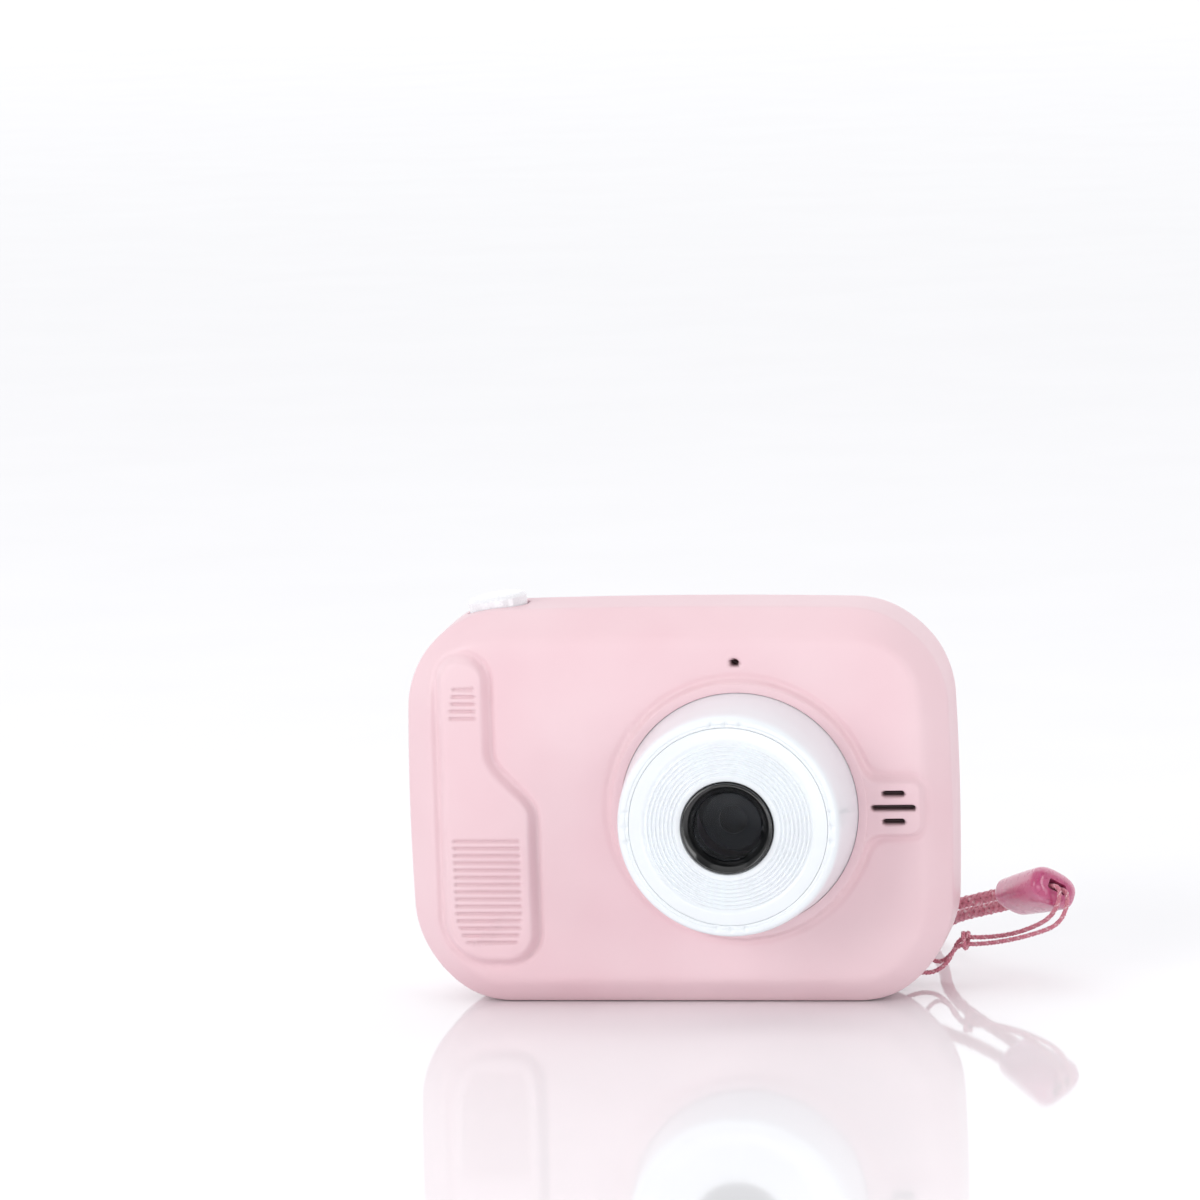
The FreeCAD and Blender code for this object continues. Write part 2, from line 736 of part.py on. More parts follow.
def lens_core():
    """The holder behind the window, with two glasses, the aperture, sensor, board and flex."""
    pupil = LENS_FRONT - 7.5
    flange_back = INNER_FRONT - 1.6
    holder = turned("lens_holder", [
        (4.4, 4.9), (8.0, 4.9), (8.0, 6.2), (S.holder_flange_radius, flange_back),
        (S.holder_flange_radius, INNER_FRONT - 0.05), (S.holder_radius + 0.6, INNER_FRONT - 0.05),
        (S.holder_radius - 1.6, pupil - 1.0), (S.holder_radius - 1.6, pupil), (S.pupil_radius, pupil),
        (S.pupil_radius, pupil - 0.8), (3.2, pupil - 0.8), (3.2, 8.0), (4.4, 8.0)])
    holes = sketch_on(holder, "XY_Plane", INNER_FRONT)
    for i in range(3):
        angle = math.radians(90 + 120 * i)
        add_circle(holes, HOLDER_SCREW_CIRCLE * math.cos(angle), HOLDER_SCREW_CIRCLE * math.sin(angle), 0.6)
    pocket(holder, holes, 4.0)
    for label, back, front in (("lens_front_element", pupil - 2.9, pupil - 0.9),
                               ("lens_rear_element", pupil - 8.0, pupil - 6.4)):
        radius, bulge = S.element_radius, 0.35
        turned(label, [(0, back), (radius * 0.6, back + bulge * 0.35), (radius, back + bulge),
                       (radius, front - bulge), (radius * 0.6, front - bulge * 0.35), (0, front)])
    hole = rod("aperture_hole", S.lens_across, MIDDLE, pupil - 4.6, pupil - 4.0, 0.9)
    plate = rod("aperture_plate", S.lens_across, MIDDLE, pupil - 4.5, pupil - 4.1, 3.1)
    keep(cut("aperture_disc", plate, hole), "aperture_disc")
    keep(block("image_sensor", (S.lens_across - 3, S.lens_across + 3), (4.05, 4.85), (MIDDLE - 3, MIDDLE + 3)),
         "image_sensor")
    keep(block("sensor_board", (S.lens_across - 8, S.lens_across + 8), (3.0, 4.0), (MIDDLE - 8, MIDDLE + 8)),
         "sensor_board")
    flex = new_body("sensor_flex")
    profile = sketch_on(flex, "YZ_Plane", S.lens_across - 4)
    low, high = MIDDLE - 13, MIDDLE - 6
    back = -BOARD_FRONT - 0.05
    add_polygon(profile, [(-2.9, high), (-2.9, low), (back, low), (back, low + 0.25),
                          (-2.65, low + 0.25), (-2.65, high)])
    pad(flex, profile, 8.0)


def screw(label, across, height, head_end, head_length, head_radius, tip_end, shank_radius):
    """One screw along Y: a head and a shank, from the head's outer end to the tip."""
    head_stop = head_end + head_length
    low, high = (head_end, head_stop) if head_length > 0 else (head_stop, head_end)
    head = rod(f"{label}_head", across, height, low, high, head_radius)
    low, high = sorted((head_stop, tip_end))
    shank = rod(f"{label}_shank", across, height, low, high, shank_radius)
    return fuse(label, [head, shank])


def screws():
    """Barrel screws, lens holder screws and case screws, each kind as one group."""
    inner = INNER_FRONT.number
    barrel = [screw(f"barrel_screw_{i}", x, z, inner - 1.3, 1.25, 1.5, inner + 3.2, 0.65)
              for i, (x, z) in enumerate(around_lens(BARREL_SCREW_CIRCLE, 4, 45))]
    keep(group("barrel_screws", barrel), "barrel_screws")
    holder = [screw(f"holder_screw_{i}", x, z, 5.85, 0.9, 1.0, inner + 0.9, 0.5)
              for i, (x, z) in enumerate(around_lens(HOLDER_SCREW_CIRCLE, 3, 90))]
    keep(group("holder_screws", holder), "holder_screws")
    rear = REAR.number
    case = [screw(f"case_screw_{i}", x, z, rear + 2.3, 1.5, S.screw_head_radius, 1.5, 0.75)
            for i, (x, z) in enumerate(POSTS)]
    keep(group("case_screws", case), "case_screws")


# ---------------------------------------------------------------- inside
def inside():
    """Boards, battery, screen, speaker, microphone and sockets."""
    board = doc.addObject("Part::Box", "main_board")
    bind(board, "Length", 62.4)
    bind(board, "Width", S.board_thickness)
    bind(board, "Height", 42.0)
    move_to(board, -31.4, -BOARD_FRONT, 8.0)
    keep(board, "main_board")
    keep(block("processor", (14, 26), (BOARD_FRONT + 0.02, BOARD_FRONT + 1.1), (30, 42)), "processor")
    keep(block("battery_pad", (-28, -5), (BOARD_FRONT + 0.05, BOARD_FRONT + 1.05), (14, 44)), "battery_pad")
    battery_back = BOARD_FRONT + 1.1
    battery = block("battery_block", (-29, -4), (battery_back, battery_back + 6.0), (12, 46))
    rounded = doc.addObject("Part::Fillet", "battery")
    rounded.Base = battery
    doc.recompute()
    rounded.Edges = [(i, 1.2, 1.2) for i, e in enumerate(battery.Shape.Edges, start=1)
                     if abs(e.tangentAt(e.FirstParameter).z) > 0.99]
    keep(rounded, "battery")
    display()
    front = INNER_FRONT
    capsule = rod("speaker_disc", S.speaker_across, S.tab_middle, front - 0.5 - S.speaker_depth, front - 0.5,
                  S.speaker_radius)
    magnet = rod("speaker_magnet", S.speaker_across, S.tab_middle, front - 2.0 - S.speaker_depth,
                 front - 0.5 - S.speaker_depth, S.speaker_radius - 1.8)
    keep(fuse("speaker", [capsule, magnet]), "speaker")
    keep(rod("speaker_mesh", S.speaker_across, S.tab_middle, front - 0.4, front - 0.1, S.speaker_radius - 0.4),
         "speaker_mesh")
    keep(rod("microphone", S.lens_across, S.microphone_height, front - 1.6, front - 0.1, S.microphone_radius),
         "microphone")
    sockets()
    keep(rod("strap_bar", S.bar_across, S.bar_height, -SIDE - 0.05 - 5.9, -SIDE - 0.05, S.bar_radius), "strap_bar")


def display():
    """The clear screen window, the panel behind it and the frame that holds the panel."""
    window = new_body("screen_window")
    sketch = face_sketch(window, REAR + 0.05)
    add_round_box(sketch, S.screen_across, S.screen_middle, S.screen_width, S.screen_height, 2.5)
    pad(window, sketch, 0.85)
    half_width = S.view_width / 2 + 1.6
    half_height = S.view_height / 2 + 1.4
    panel_back, panel_front = INNER_REAR + 0.05, INNER_REAR + 2.1
    keep(block("display_panel", (S.screen_across - half_width, S.screen_across + half_width),
               (panel_back, panel_front),
               (S.screen_middle - half_height, S.screen_middle + half_height)), "display_panel")
    frame = new_body("display_frame")
    ring = face_sketch(frame, panel_front + 0.05)
    add_round_box(ring, S.screen_across, S.screen_middle, half_width * 2, half_height * 2, 1.5)
    add_round_box(ring, S.screen_across, S.screen_middle, half_width * 2 - 5, half_height * 2 - 5, 1.0)
    pad(frame, ring, BOARD_REAR - panel_front - 0.1)


def sockets():
    """The charging port, the card socket and the card in it, all on the main board's left edge."""
    board = BOARD_FRONT
    edge = -39.0
    port = new_body("charging_port")
    shell = sketch_on(port, "YZ_Plane", edge)
    add_round_box(shell, PORT_BACK, PORT_HEIGHT, PORT_DEPTH, PORT_WIDTH, 0.9)
    pad(port, shell, 7.3)
    mouth = sketch_on(port, "YZ_Plane", edge)
    add_round_box(mouth, PORT_BACK, PORT_HEIGHT, PORT_DEPTH - 0.6, PORT_WIDTH - 0.6, 0.7)
    add_round_box(mouth, PORT_BACK, PORT_HEIGHT, 0.7, PORT_WIDTH - 2.4, 0.3)
    pocket(port, mouth, 6.0, along_normal=True)
    low, high = CARD_HEIGHT - CARD_WIDTH / 2, CARD_HEIGHT + CARD_WIDTH / 2
    outer = block("socket_shell", (edge + 0.4, edge + 8.4), (board + 0.02, board + 1.75), (low - 0.6, high + 0.6))
    inner = block("socket_space", (edge - 1, edge + 8), (board + 0.25, board + 1.35), (low - 0.2, high + 0.2))
    keep(cut("card_socket", outer, inner), "card_socket")
    keep(block("memory_card", (edge - 0.2, edge + 7.9), (board + 0.3, board + 1.3), (low, high)), "memory_card")


# ---------------------------------------------------------------- keys
def keys():
    """Each rear key is a round cap with a hidden flange and a short stem over its switch."""
    tops = []
    for label, across, height, radius in KEYS:
        top = REAR - S.key_rise
        under = INNER_REAR + 0.05
        turned(label, [(0, top), (radius * 0.75, top + 0.06), (radius, top + 0.35), (radius, under),
                       (radius + S.key_flange, under), (radius + S.key_flange, under + 0.7),
                       (1.0, under + 0.7), (1.0, under + 1.4), (0, under + 1.4)], across, height)
        switch_top = INNER_REAR + 1.45 + S.key_travel + 0.05
        foot = block(f"{label}_foot", (across - 1.2, across + 1.2), (switch_top + 0.6, BOARD_REAR - 0.02),
                     (height - 1.2, height + 1.2))
        plunger = rod(f"{label}_plunger", across, height, switch_top, switch_top + 0.6, 0.8)
        tops.append(fuse(f"{label}_switch", [foot, plunger]))
    keep(group("key_switches", tops), "key_switches")


# ---------------------------------------------------------------- shutter button
def on_button_axis(thing, depth):
    """Stand a piece on the button's tilted axis, its base this far above the case's surface."""
    tilt = Rotation(Vector(0, 1, 0), -S.button_tilt.number)
    surface = Vector(S.button_across.number, 0, S.button_height.number)
    thing.Placement = Placement(surface + tilt.multVec(Vector(0, 0, depth)), tilt)
    return thing


def shutter():
    """Button, spring, switch and the small board that carries the switch."""
    body = new_body("shutter_button")
    radius, rise = S.button_radius, S.button_rise
    spin(body, [(0, rise), (radius * 0.7, rise - 0.08), (radius - 0.3, rise - 0.3),
                (radius, rise - 0.75), (radius, -3.4), (S.button_flange_radius, -3.4),
                (S.button_flange_radius, -4.2), (1.3, -4.2), (1.3, -6.2), (0, -6.2)])
    on_button_axis(body, 0)
    helix = doc.addObject("Part::Helix", "spring_path")
    helix.Pitch = 0.8
    helix.Height = 3.0
    helix.Radius = SPRING_RADIUS
    section = doc.addObject("Part::Circle", "spring_section")
    section.Radius = SPRING_WIRE_RADIUS
    section.Placement = Placement(Vector(SPRING_RADIUS, 0, 0), Rotation(Vector(1, 0, 0), 90))
    spring = doc.addObject("Part::Sweep", "spring_coil")
    spring.Sections = [section]
    spring.Spine = (helix, ["Edge1"])
    spring.Solid = True
    spring.Frenet = True
    doc.recompute()
    placed = fuse("shutter_spring", [spring, far_turn()])
    keep(on_button_axis(placed, -8.3), "shutter_spring")
    switch = doc.addObject("Part::Box", "switch_block")
    switch.Length, switch.Width, switch.Height = 3.4, 3.4, 1.0
    switch.Placement.Base = Vector(-1.7, -1.7, 0)
    plunger = doc.addObject("Part::Cylinder", "switch_plunger")
    plunger.Radius, plunger.Height = 0.9, 1.4
    keep(on_button_axis(fuse("shutter_switch", [switch, plunger]), -8.5), "shutter_switch")
    carrier = doc.addObject("Part::Box", "carrier_block")
    carrier.Length, carrier.Width, carrier.Height = 9.0, 6.4, 0.8
    carrier.Placement.Base = Vector(-4.5, -3.2, 0)
    keep(on_button_axis(fuse("shutter_board", [carrier, lead_pad()]), -9.35), "shutter_board")


def far_turn():
    """The spring's closed lower turn."""
    ring = doc.addObject("Part::Torus", "spring_foot")
    ring.Radius1 = SPRING_RADIUS
    ring.Radius2 = SPRING_WIRE_RADIUS
    return ring


def lead_pad():
    """The solder pad block for the board's two leads."""
    box = doc.addObject("Part::Box", "lead_block")
    box.Length, box.Width, box.Height = 2.0, 3.0, 0.5
    box.Placement.Base = Vector(-1.0, -1.5, -0.5)
    return box


# ---------------------------------------------------------------- port flap
def port_flap():
    """The rubber flap in the left side, which swings down on its lower end."""
    body = new_body("port_flap")
    skin = -S.case_width / 2
    plate = sketch_on(body, "YZ_Plane", skin + 0.05)
    add_round_box(plate, -S.flap_forward, S.flap_middle, S.flap_width, S.flap_length, 0.5)
    pad(body, plate, S.flap_thickness)
    plug = sketch_on(body, "YZ_Plane", skin + S.flap_thickness)
    add_round_box(plug, PORT_BACK, PORT_HEIGHT, PORT_DEPTH - 0.9, PORT_WIDTH - 1.2, 0.5)
    pad(body, plug, 0.5)
    nail = sketch_on(body, "YZ_Plane", skin + 0.05)
    add_round_box(nail, -S.flap_forward, S.flap_middle + S.flap_length / 2 - 1.0, 3.0, 0.8, 0.3)
    pocket(body, nail, 0.5, along_normal=True)


# ---------------------------------------------------------------- wrist cord
CLASP_CENTRE = Vector(51.3, 8.15, 13.7)
CLASP_TURN = -46.0      # about Z: its right end comes towards the front
CLASP_RISE = -16.0      # about Y: its right end is higher
CLASP_ROLL = -32.0      # about its own length
CORD_OFFSET = 1.6       # the wrist cord's ends lie this far either side of the clasp's middle
TIE_OFFSETS = (0.6, -0.75)
TIE_LEAD = 1.4          # straight run of the tie cord in front of the clasp
CORD_LEAD = 4.5         # straight run of the wrist cord behind it
CLASP = Placement(CLASP_CENTRE, Rotation(Vector(0, 0, 1), CLASP_TURN)
                  .multiply(Rotation(Vector(0, 1, 0), CLASP_RISE))
                  .multiply(Rotation(Vector(1, 0, 0), CLASP_ROLL)))

TIE_ROUTE = [
    (57.0, 2.2, 12.9), (55.4, 3.5, 9.6), (51.6, 5.2, 7.9), (47.6, 6.3, 6.7), (43.6, 7.0, 6.0),
    (39.4, 7.3, 5.9), (38.2, 7.4, 2.9), (35.4, 7.4, 1.2), (31.4, 7.5, 2.2), (29.2, 7.8, 4.7),
    (29.6, 8.1, 8.0), (32.9, 8.3, 8.0), (34.5, 8.4, 4.4), (36.6, 8.45, 2.6), (38.9, 8.5, 4.2),
    (39.9, 8.5, 6.8), (44.0, 8.2, 6.75), (48.0, 7.5, 7.4), (51.4, 6.0, 8.8), (54.2, 3.6, 10.7),
    (55.8, 1.5, 13.6)]
CORD_ROUTE = [
    (33.6, 17.6, 8.8), (24.5, 19.6, 3.6), (14.0, 19.4, 1.1), (2.0, 17.6, 1.05), (-10.0, 17.0, 1.05),
    (-22.0, 18.4, 1.05), (-31.5, 22.6, 1.05), (-37.0, 31.0, 1.05), (-35.6, 41.5, 1.05),
    (-28.0, 49.5, 1.05), (-16.5, 53.0, 1.05), (-4.0, 53.4, 1.05), (8.5, 51.0, 1.05),
    (20.0, 49.0, 1.05), (29.5, 43.5, 1.05), (34.6, 34.5, 1.9), (36.2, 25.6, 6.2)]
HITCH_CENTRE = Vector(40.9, 7.9, 6.35)


def on_clasp(x, y, z):
    return CLASP.multVec(Vector(x, y, z))


def tube_solid(label, route, diameter):
    """A round tube along straight runs joined by tangent arcs, each as large as its runs allow."""
    points = [Vector(*p) for p in route]
    edges = []
    here = points[0]
    tightest = 1e9
    for i in range(1, len(points) - 1):
        back = points[i - 1] - points[i]
        ahead = points[i + 1] - points[i]
        run = min(back.Length, ahead.Length)
        turn = math.pi - back.getAngle(ahead)
        trim = 0.45 * run
        radius = trim / math.tan(turn / 2)
        tightest = min(tightest, radius)
        back.normalize()
        ahead.normalize()
        start = points[i] + back * trim
        stop = points[i] + ahead * trim
        bisector = (back + ahead).normalize()
        middle = points[i] + bisector * (radius / math.cos(turn / 2) - radius)
        edges.append(Part.LineSegment(here, start).toShape())
        edges.append(Part.Arc(start, middle, stop).toShape())
        here = stop
    edges.append(Part.LineSegment(here, points[-1]).toShape())
    path = Part.Wire(edges)
    direction = points[1] - points[0]
    ring = Part.Wire([Part.Circle(points[0], direction, diameter / 2).toShape()])
    solid = path.makePipeShell([ring], True, False)
    expected = math.pi * diameter ** 2 / 4 * path.Length
    print(f"{label}: length {path.Length:.1f}, tightest radius {tightest:.2f}, "
          f"volume {solid.Volume:.1f} of {expected:.1f}")
    feature = doc.addObject("Part::Feature", label)
    feature.Shape = solid
    return keep(feature, label)


def lanyard():
    """Thin tie loop round the strap bar, its hitch, the clasp, and the thick wrist loop."""
    half = S.clasp_length.number / 2
    slot_bottom = half - S.clasp_slot_depth.number
    near, far = TIE_OFFSETS
    tie_start = [on_clasp(slot_bottom, near, 0), on_clasp(half + TIE_LEAD, near, 0)]
    tie_end = [on_clasp(half + TIE_LEAD, far, 0), on_clasp(slot_bottom, far, 0)]
    tube_solid("tie_cord", tie_start + TIE_ROUTE + tie_end, S.tie_diameter.number)
    socket_bottom = S.clasp_socket_depth.number - half
    cord_start = [on_clasp(socket_bottom, -CORD_OFFSET, 0), on_clasp(-half - CORD_LEAD, -CORD_OFFSET, 0)]
    cord_end = [on_clasp(-half - CORD_LEAD, CORD_OFFSET, 0), on_clasp(socket_bottom, CORD_OFFSET, 0)]
    tube_solid("wrist_cord", cord_start + CORD_ROUTE + cord_end, S.cord_diameter.number)
    hitch = doc.addObject("Part::Torus", "tie_hitch")
    hitch.Radius1, hitch.Radius2 = 1.7, 0.45
    hitch.Placement = Placement(HITCH_CENTRE, Rotation(Vector(0, 0, 1), Vector(1, 0, 0.05)))
    keep(hitch, "tie_hitch")
    clasp()


def clasp():
    """A rounded block with a slot in its right end and two round sockets in its left end."""
    body = new_body("cord_clasp")
    profile = sketch_on(body, "YZ_Plane", -S.clasp_length / 2)
    add_round_box(profile, 0, 0, S.clasp_width, S.clasp_thickness, S.clasp_corner_round)
    pad(body, profile, S.clasp_length)
    half = S.clasp_length.number / 2
    round_edges(body, lambda p, e: abs(abs(p.x) - half) < 0.01, S.clasp_edge_round)
    slot = sketch_on(body, "YZ_Plane", S.clasp_length / 2)
    add_round_box(slot, 0, 0, S.clasp_slot_width, S.clasp_slot_height, 0.25)
    pocket(body, slot, S.clasp_slot_depth)
    sockets_sketch = sketch_on(body, "YZ_Plane", -S.clasp_length / 2)
    for across in (-CORD_OFFSET, CORD_OFFSET):
        add_circle(sockets_sketch, across, 0, S.cord_diameter / 2 + 0.05)
    pocket(body, sockets_sketch, S.clasp_socket_depth, along_normal=True)
    body.Placement = CLASP


# ---------------------------------------------------------------- build, check and write
def check_document():
    """Stop if any object failed or any sub-part has no valid shape."""
    doc.recompute()
    for thing in doc.Objects:
        if "Invalid" in thing.State or "Error" in thing.State:
            raise RuntimeError(f"{thing.Label} failed: {thing.State}")
    for thing in parts:
        if thing.Shape.isNull() or not thing.Shape.isValid() or not thing.Shape.Solids:
            raise RuntimeError(f"{thing.Label} has no valid solid")


def write_parts():
    os.makedirs("parts", exist_ok=True)
    for thing in parts:
        thing.Shape.exportStep(f"parts/{thing.Label}.step")
        print(f"{thing.Label}: {len(thing.Shape.Solids)} solid(s), {thing.Shape.Volume:.1f} mm3")


front_cover()
rear_cover()
lens()
screws()
inside()
keys()
shutter()
port_flap()
lanyard()
check_document()
write_parts()
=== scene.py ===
# %% [markdown]
# # A child's pocket camera
#
# The real object is a palm-sized toy camera: two satin pink shells, a glossy white lens barrel with a
# grooved front ring, a black glossy bezel, a screen and round keys on the back, and a braided wrist cord on
# a thin tie loop.  The mechanical model already fixes every size and joint, so this script only adds
# surfaces and finishes.  It starts by loading that model.

# %% Load the mechanical model
import json
import math

import bpy
import numpy as np
from mathutils import Matrix, Vector


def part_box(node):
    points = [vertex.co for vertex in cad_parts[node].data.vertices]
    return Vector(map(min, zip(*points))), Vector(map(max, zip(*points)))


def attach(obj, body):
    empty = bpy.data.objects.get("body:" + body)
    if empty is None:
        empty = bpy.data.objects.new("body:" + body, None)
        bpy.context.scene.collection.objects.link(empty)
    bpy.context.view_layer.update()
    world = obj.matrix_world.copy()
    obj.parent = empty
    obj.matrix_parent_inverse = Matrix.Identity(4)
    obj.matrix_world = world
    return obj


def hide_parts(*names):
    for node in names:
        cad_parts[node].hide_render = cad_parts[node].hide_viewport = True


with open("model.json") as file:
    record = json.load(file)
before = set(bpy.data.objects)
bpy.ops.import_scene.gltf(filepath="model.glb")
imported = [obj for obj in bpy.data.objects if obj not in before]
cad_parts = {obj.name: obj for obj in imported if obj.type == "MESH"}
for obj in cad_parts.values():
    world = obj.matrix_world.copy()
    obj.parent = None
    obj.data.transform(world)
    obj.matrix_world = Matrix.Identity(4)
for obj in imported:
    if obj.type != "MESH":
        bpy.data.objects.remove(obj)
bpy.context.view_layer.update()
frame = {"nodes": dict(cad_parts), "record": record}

# %% [markdown]
# ## Places and sizes
#
# Every place comes from the boxes of the mechanical pieces, turned to millimetres, because a maker thinks of
# a camera this small in millimetres.  "Forward" is the distance towards the lens, which is along -Y.  The
# case's own profile can't be read from a box, so its few sizes are given here as they are in the mechanical
# model.

# %% Key places from the model
MM = 0.001


def piece_box(node):
    """Lowest and highest corner of a mechanical piece, in millimetres."""
    low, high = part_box(node)
    return np.array(low) / MM, np.array(high) / MM


cover_high = piece_box("front_cover")[1]
rear_high = piece_box("rear_cover")[1]
barrel_low, barrel_high = piece_box("lens_barrel")
bezel_low = piece_box("lens_bezel")[0]
half_width = cover_high[0]
case_height = rear_high[2]
half_height = case_height / 2
seam_y = cover_high[1]
rear_y = rear_high[1]
lens_x = (barrel_low[0] + barrel_high[0]) / 2
lens_z = (barrel_low[2] + barrel_high[2]) / 2
bezel_front = -bezel_low[1]
face_forward = 11.0     # the front face
side_forward = 6.5      # where the straight side ends
front_bevel = 3.9       # how far the sloping band steps in at the front
rear_bevel = 3.5        # and at the back
corner_radius = 15.0
print("lens axis at", round(lens_x, 2), round(lens_z, 2), "bezel front", round(bezel_front, 2))

# %% [markdown]
# ## Camera
#
# A long lens a metre away keeps the case's sides nearly parallel.  The view comes from a little to the right
# of the lens axis and a little above it, and leans by less than two degrees.

# %% Camera
VIEW_TURN = 9.07          # degrees round to the right
VIEW_RISE = 8.52          # degrees above level
VIEW_LEAN = -1.85         # degrees of roll
VIEW_DISTANCE = 1.0
VIEW_TARGET = Vector((-0.0120, 0.0, 0.0600))
VIEW_LENS = 200.3


def aim_camera():
    """Place the camera on a sphere round its target, then lean it about its own axis."""
    turn, rise, lean = (math.radians(a) for a in (VIEW_TURN, VIEW_RISE, VIEW_LEAN))
    back = Vector((math.sin(turn) * math.cos(rise), -math.cos(turn) * math.cos(rise), math.sin(rise)))
    right = (-back).cross(Vector((0, 0, 1))).normalized()
    up = right.cross(-back)
    across = right * math.cos(lean) + up * math.sin(lean)
    upward = up * math.cos(lean) - right * math.sin(lean)
    data = bpy.data.cameras.new("product_camera")
    data.lens = VIEW_LENS
    data.sensor_width = 36.0
    data.clip_start = 0.05
    camera = bpy.data.objects.new("product_camera", data)
    place = Matrix.Identity(4)
    for column, axis in enumerate((across, upward, back)):
        place.col[column] = (*axis, 0.0)
    place.translation = VIEW_TARGET + back * VIEW_DISTANCE
    camera.matrix_world = place
    bpy.context.scene.collection.objects.link(camera)
    bpy.context.scene.camera = camera
    return camera


camera = aim_camera()
print("camera at", [round(v, 3) for v in camera.matrix_world.translation])

# %% [markdown]
# ## Making materials
#
# One function turns an sRGB hex colour to linear light, one adds a node with its settings and links, and a
# few more make grain and tints.  Each finish is then a short function named for what the real surface is.

# %% Material helpers


def linear(hex_colour):
    """sRGB hex to linear RGBA by the standard curve."""
    values = [int(hex_colour[i:i + 2], 16) / 255 for i in (1, 3, 5)]
    bent = [v / 12.92 if v <= 0.04045 else ((v + 0.055) / 1.055) ** 2.4 for v in values]
    return (*bent, 1.0)


def add_node(tree, kind, settings=None, inputs=None):
    """Add a shader node, set its properties, and set or link its inputs; a socket as a value makes a link."""
    node = tree.nodes.new("ShaderNode" + kind)
    for name, value in (settings or {}).items():
        setattr(node, name, value)
    for name, value in (inputs or {}).items():
        if isinstance(value, bpy.types.NodeSocket):
            tree.links.new(value, node.inputs[name])
        else:
            node.inputs[name].default_value = value
    return node


def new_finish(name, **shader_inputs):
    """A material with a Principled shader whose fixed values are set on its own sockets."""
    material = bpy.data.materials.new(name)
    material.use_nodes = True
    tree = material.node_tree
    shader = tree.nodes["Principled BSDF"]
    for socket, value in shader_inputs.items():
        shader.inputs[socket.replace("_", " ")].default_value = value
    return material, tree, shader


def object_coordinates(tree):
    """Object coordinates in millimetres: metres divided by MM."""
    coordinates = add_node(tree, "TexCoord").outputs["Object"]
    mapping = add_node(tree, "Mapping", inputs={"Vector": coordinates, "Scale": (1 / MM,) * 3})
    return mapping.outputs["Vector"]


def ramp(tree, factor, stops):
    """A colour ramp from (place, colour) stops."""
    node = add_node(tree, "ValToRGB", inputs={"Fac": factor})
    elements = node.color_ramp.elements
    while len(elements) < len(stops):
        elements.new(0.5)
    for element, (place, colour) in zip(elements, stops):
        element.position = place
        element.color = colour
    return node.outputs["Color"]


def noise_field(tree, scale, detail=2.0):
    """Soft noise through the piece; scale is how often it repeats in a millimetre."""
    return add_node(tree, "TexNoise", inputs={"Vector": object_coordinates(tree), "Scale": scale,
                                              "Detail": detail}).outputs["Fac"]


def grain(tree, shader, size_mm, height_mm, roughness, spread):
    """Moulded texture: noise spreads the roughness a little, and with a height it is a bump as well."""
    noise = noise_field(tree, 1 / size_mm, 3.0)
    if height_mm > 0:
        bump = add_node(tree, "Bump", inputs={"Height": noise, "Strength": 0.35, "Distance": height_mm * MM})
        tree.links.new(bump.outputs["Normal"], shader.inputs["Normal"])
    rough = add_node(tree, "MapRange", inputs={"Value": noise, "From Min": 0.3, "From Max": 0.7,
                                               "To Min": roughness - spread, "To Max": roughness + spread})
    tree.links.new(rough.outputs["Result"], shader.inputs["Roughness"])
    return noise


def tint(tree, shader, factor, *stops):
    """Colour the shader by a ramp of (place, hex colour) stops."""
    tone = ramp(tree, factor, [(place, linear(colour)) for place, colour in stops])
    tree.links.new(tone, shader.inputs["Base Color"])


def paint_hollow_shade(tree, shader, tone, deep):
    """Painted shade: the shader's tone turns to the deep colour where the surface's hollow shade value is
    high.
    """
    depth = add_node(tree, "Attribute", {"attribute_name": "hollow"}).outputs["Fac"]
    dark = add_node(tree, "Mix", {"data_type": "RGBA"}, {"Factor": depth})
    tree.links.new(tone, dark.inputs[6])
    dark.inputs[7].default_value = linear(deep)
    tree.links.new(dark.outputs[2], shader.inputs["Base Color"])


# %% [markdown]
# ## The finishes
#
# The shells are ABS with a satin pearl coat: soft highlights and a very fine grain.  The barrel is polished
# white ABS, the bezel polished black.  Grain finer than a tenth of a millimetre would not show, so it is
# drawn a little coarser than a real mould leaves it.  Polished pieces get no bump at all: their grain only
# varies the roughness by a hair.

# %% Shell finish


def satin_pink_abs():
    """Pearl satin ABS: pale pink, broad highlights, and painted shade that turns it dark red deep inside
    holes and grooves.
    """
    material, tree, shader = new_finish("satin_pink_abs", Specular_IOR_Level=0.42, Coat_Weight=0.12,
                                        Coat_Roughness=0.32)
    grain(tree, shader, 0.22, 0.012, 0.46, 0.05)
    tone = ramp(tree, noise_field(tree, 0.045), [(0.35, linear("#E6C4CB")), (0.65, linear("#E9CBD1"))])
    # painted shade: dark red deep in the slots, holes, rib grooves and recesses
    paint_hollow_shade(tree, shader, tone, "#2C0F12")
    return material


def gloss_white_abs():
    """Polished white ABS with a cool cast and sharp but soft-edged reflections."""
    material, tree, shader = new_finish("gloss_white_abs", Coat_Weight=0.35, Coat_Roughness=0.12,
                                        Subsurface_Weight=0.08, Subsurface_Scale=0.001)
    fine = grain(tree, shader, 4.0, 0.0, 0.3, 0.01)
    shader.inputs["Subsurface Radius"].default_value = (1.0, 1.0, 1.0)
    tint(tree, shader, fine, (0.3, "#E9EDF1"), (0.7, "#EAEFF3"))
    return material


def gloss_black_abs():
    """Polished black ABS: near black, clear reflections, faint polishing haze."""
    material, tree, shader = new_finish("gloss_black_abs", Coat_Weight=0.5, Coat_Roughness=0.08)
    fine = grain(tree, shader, 1.5, 0.0, 0.16, 0.03)
    tint(tree, shader, fine, (0.3, "#050607"), (0.7, "#0B0C0E"))
    return material


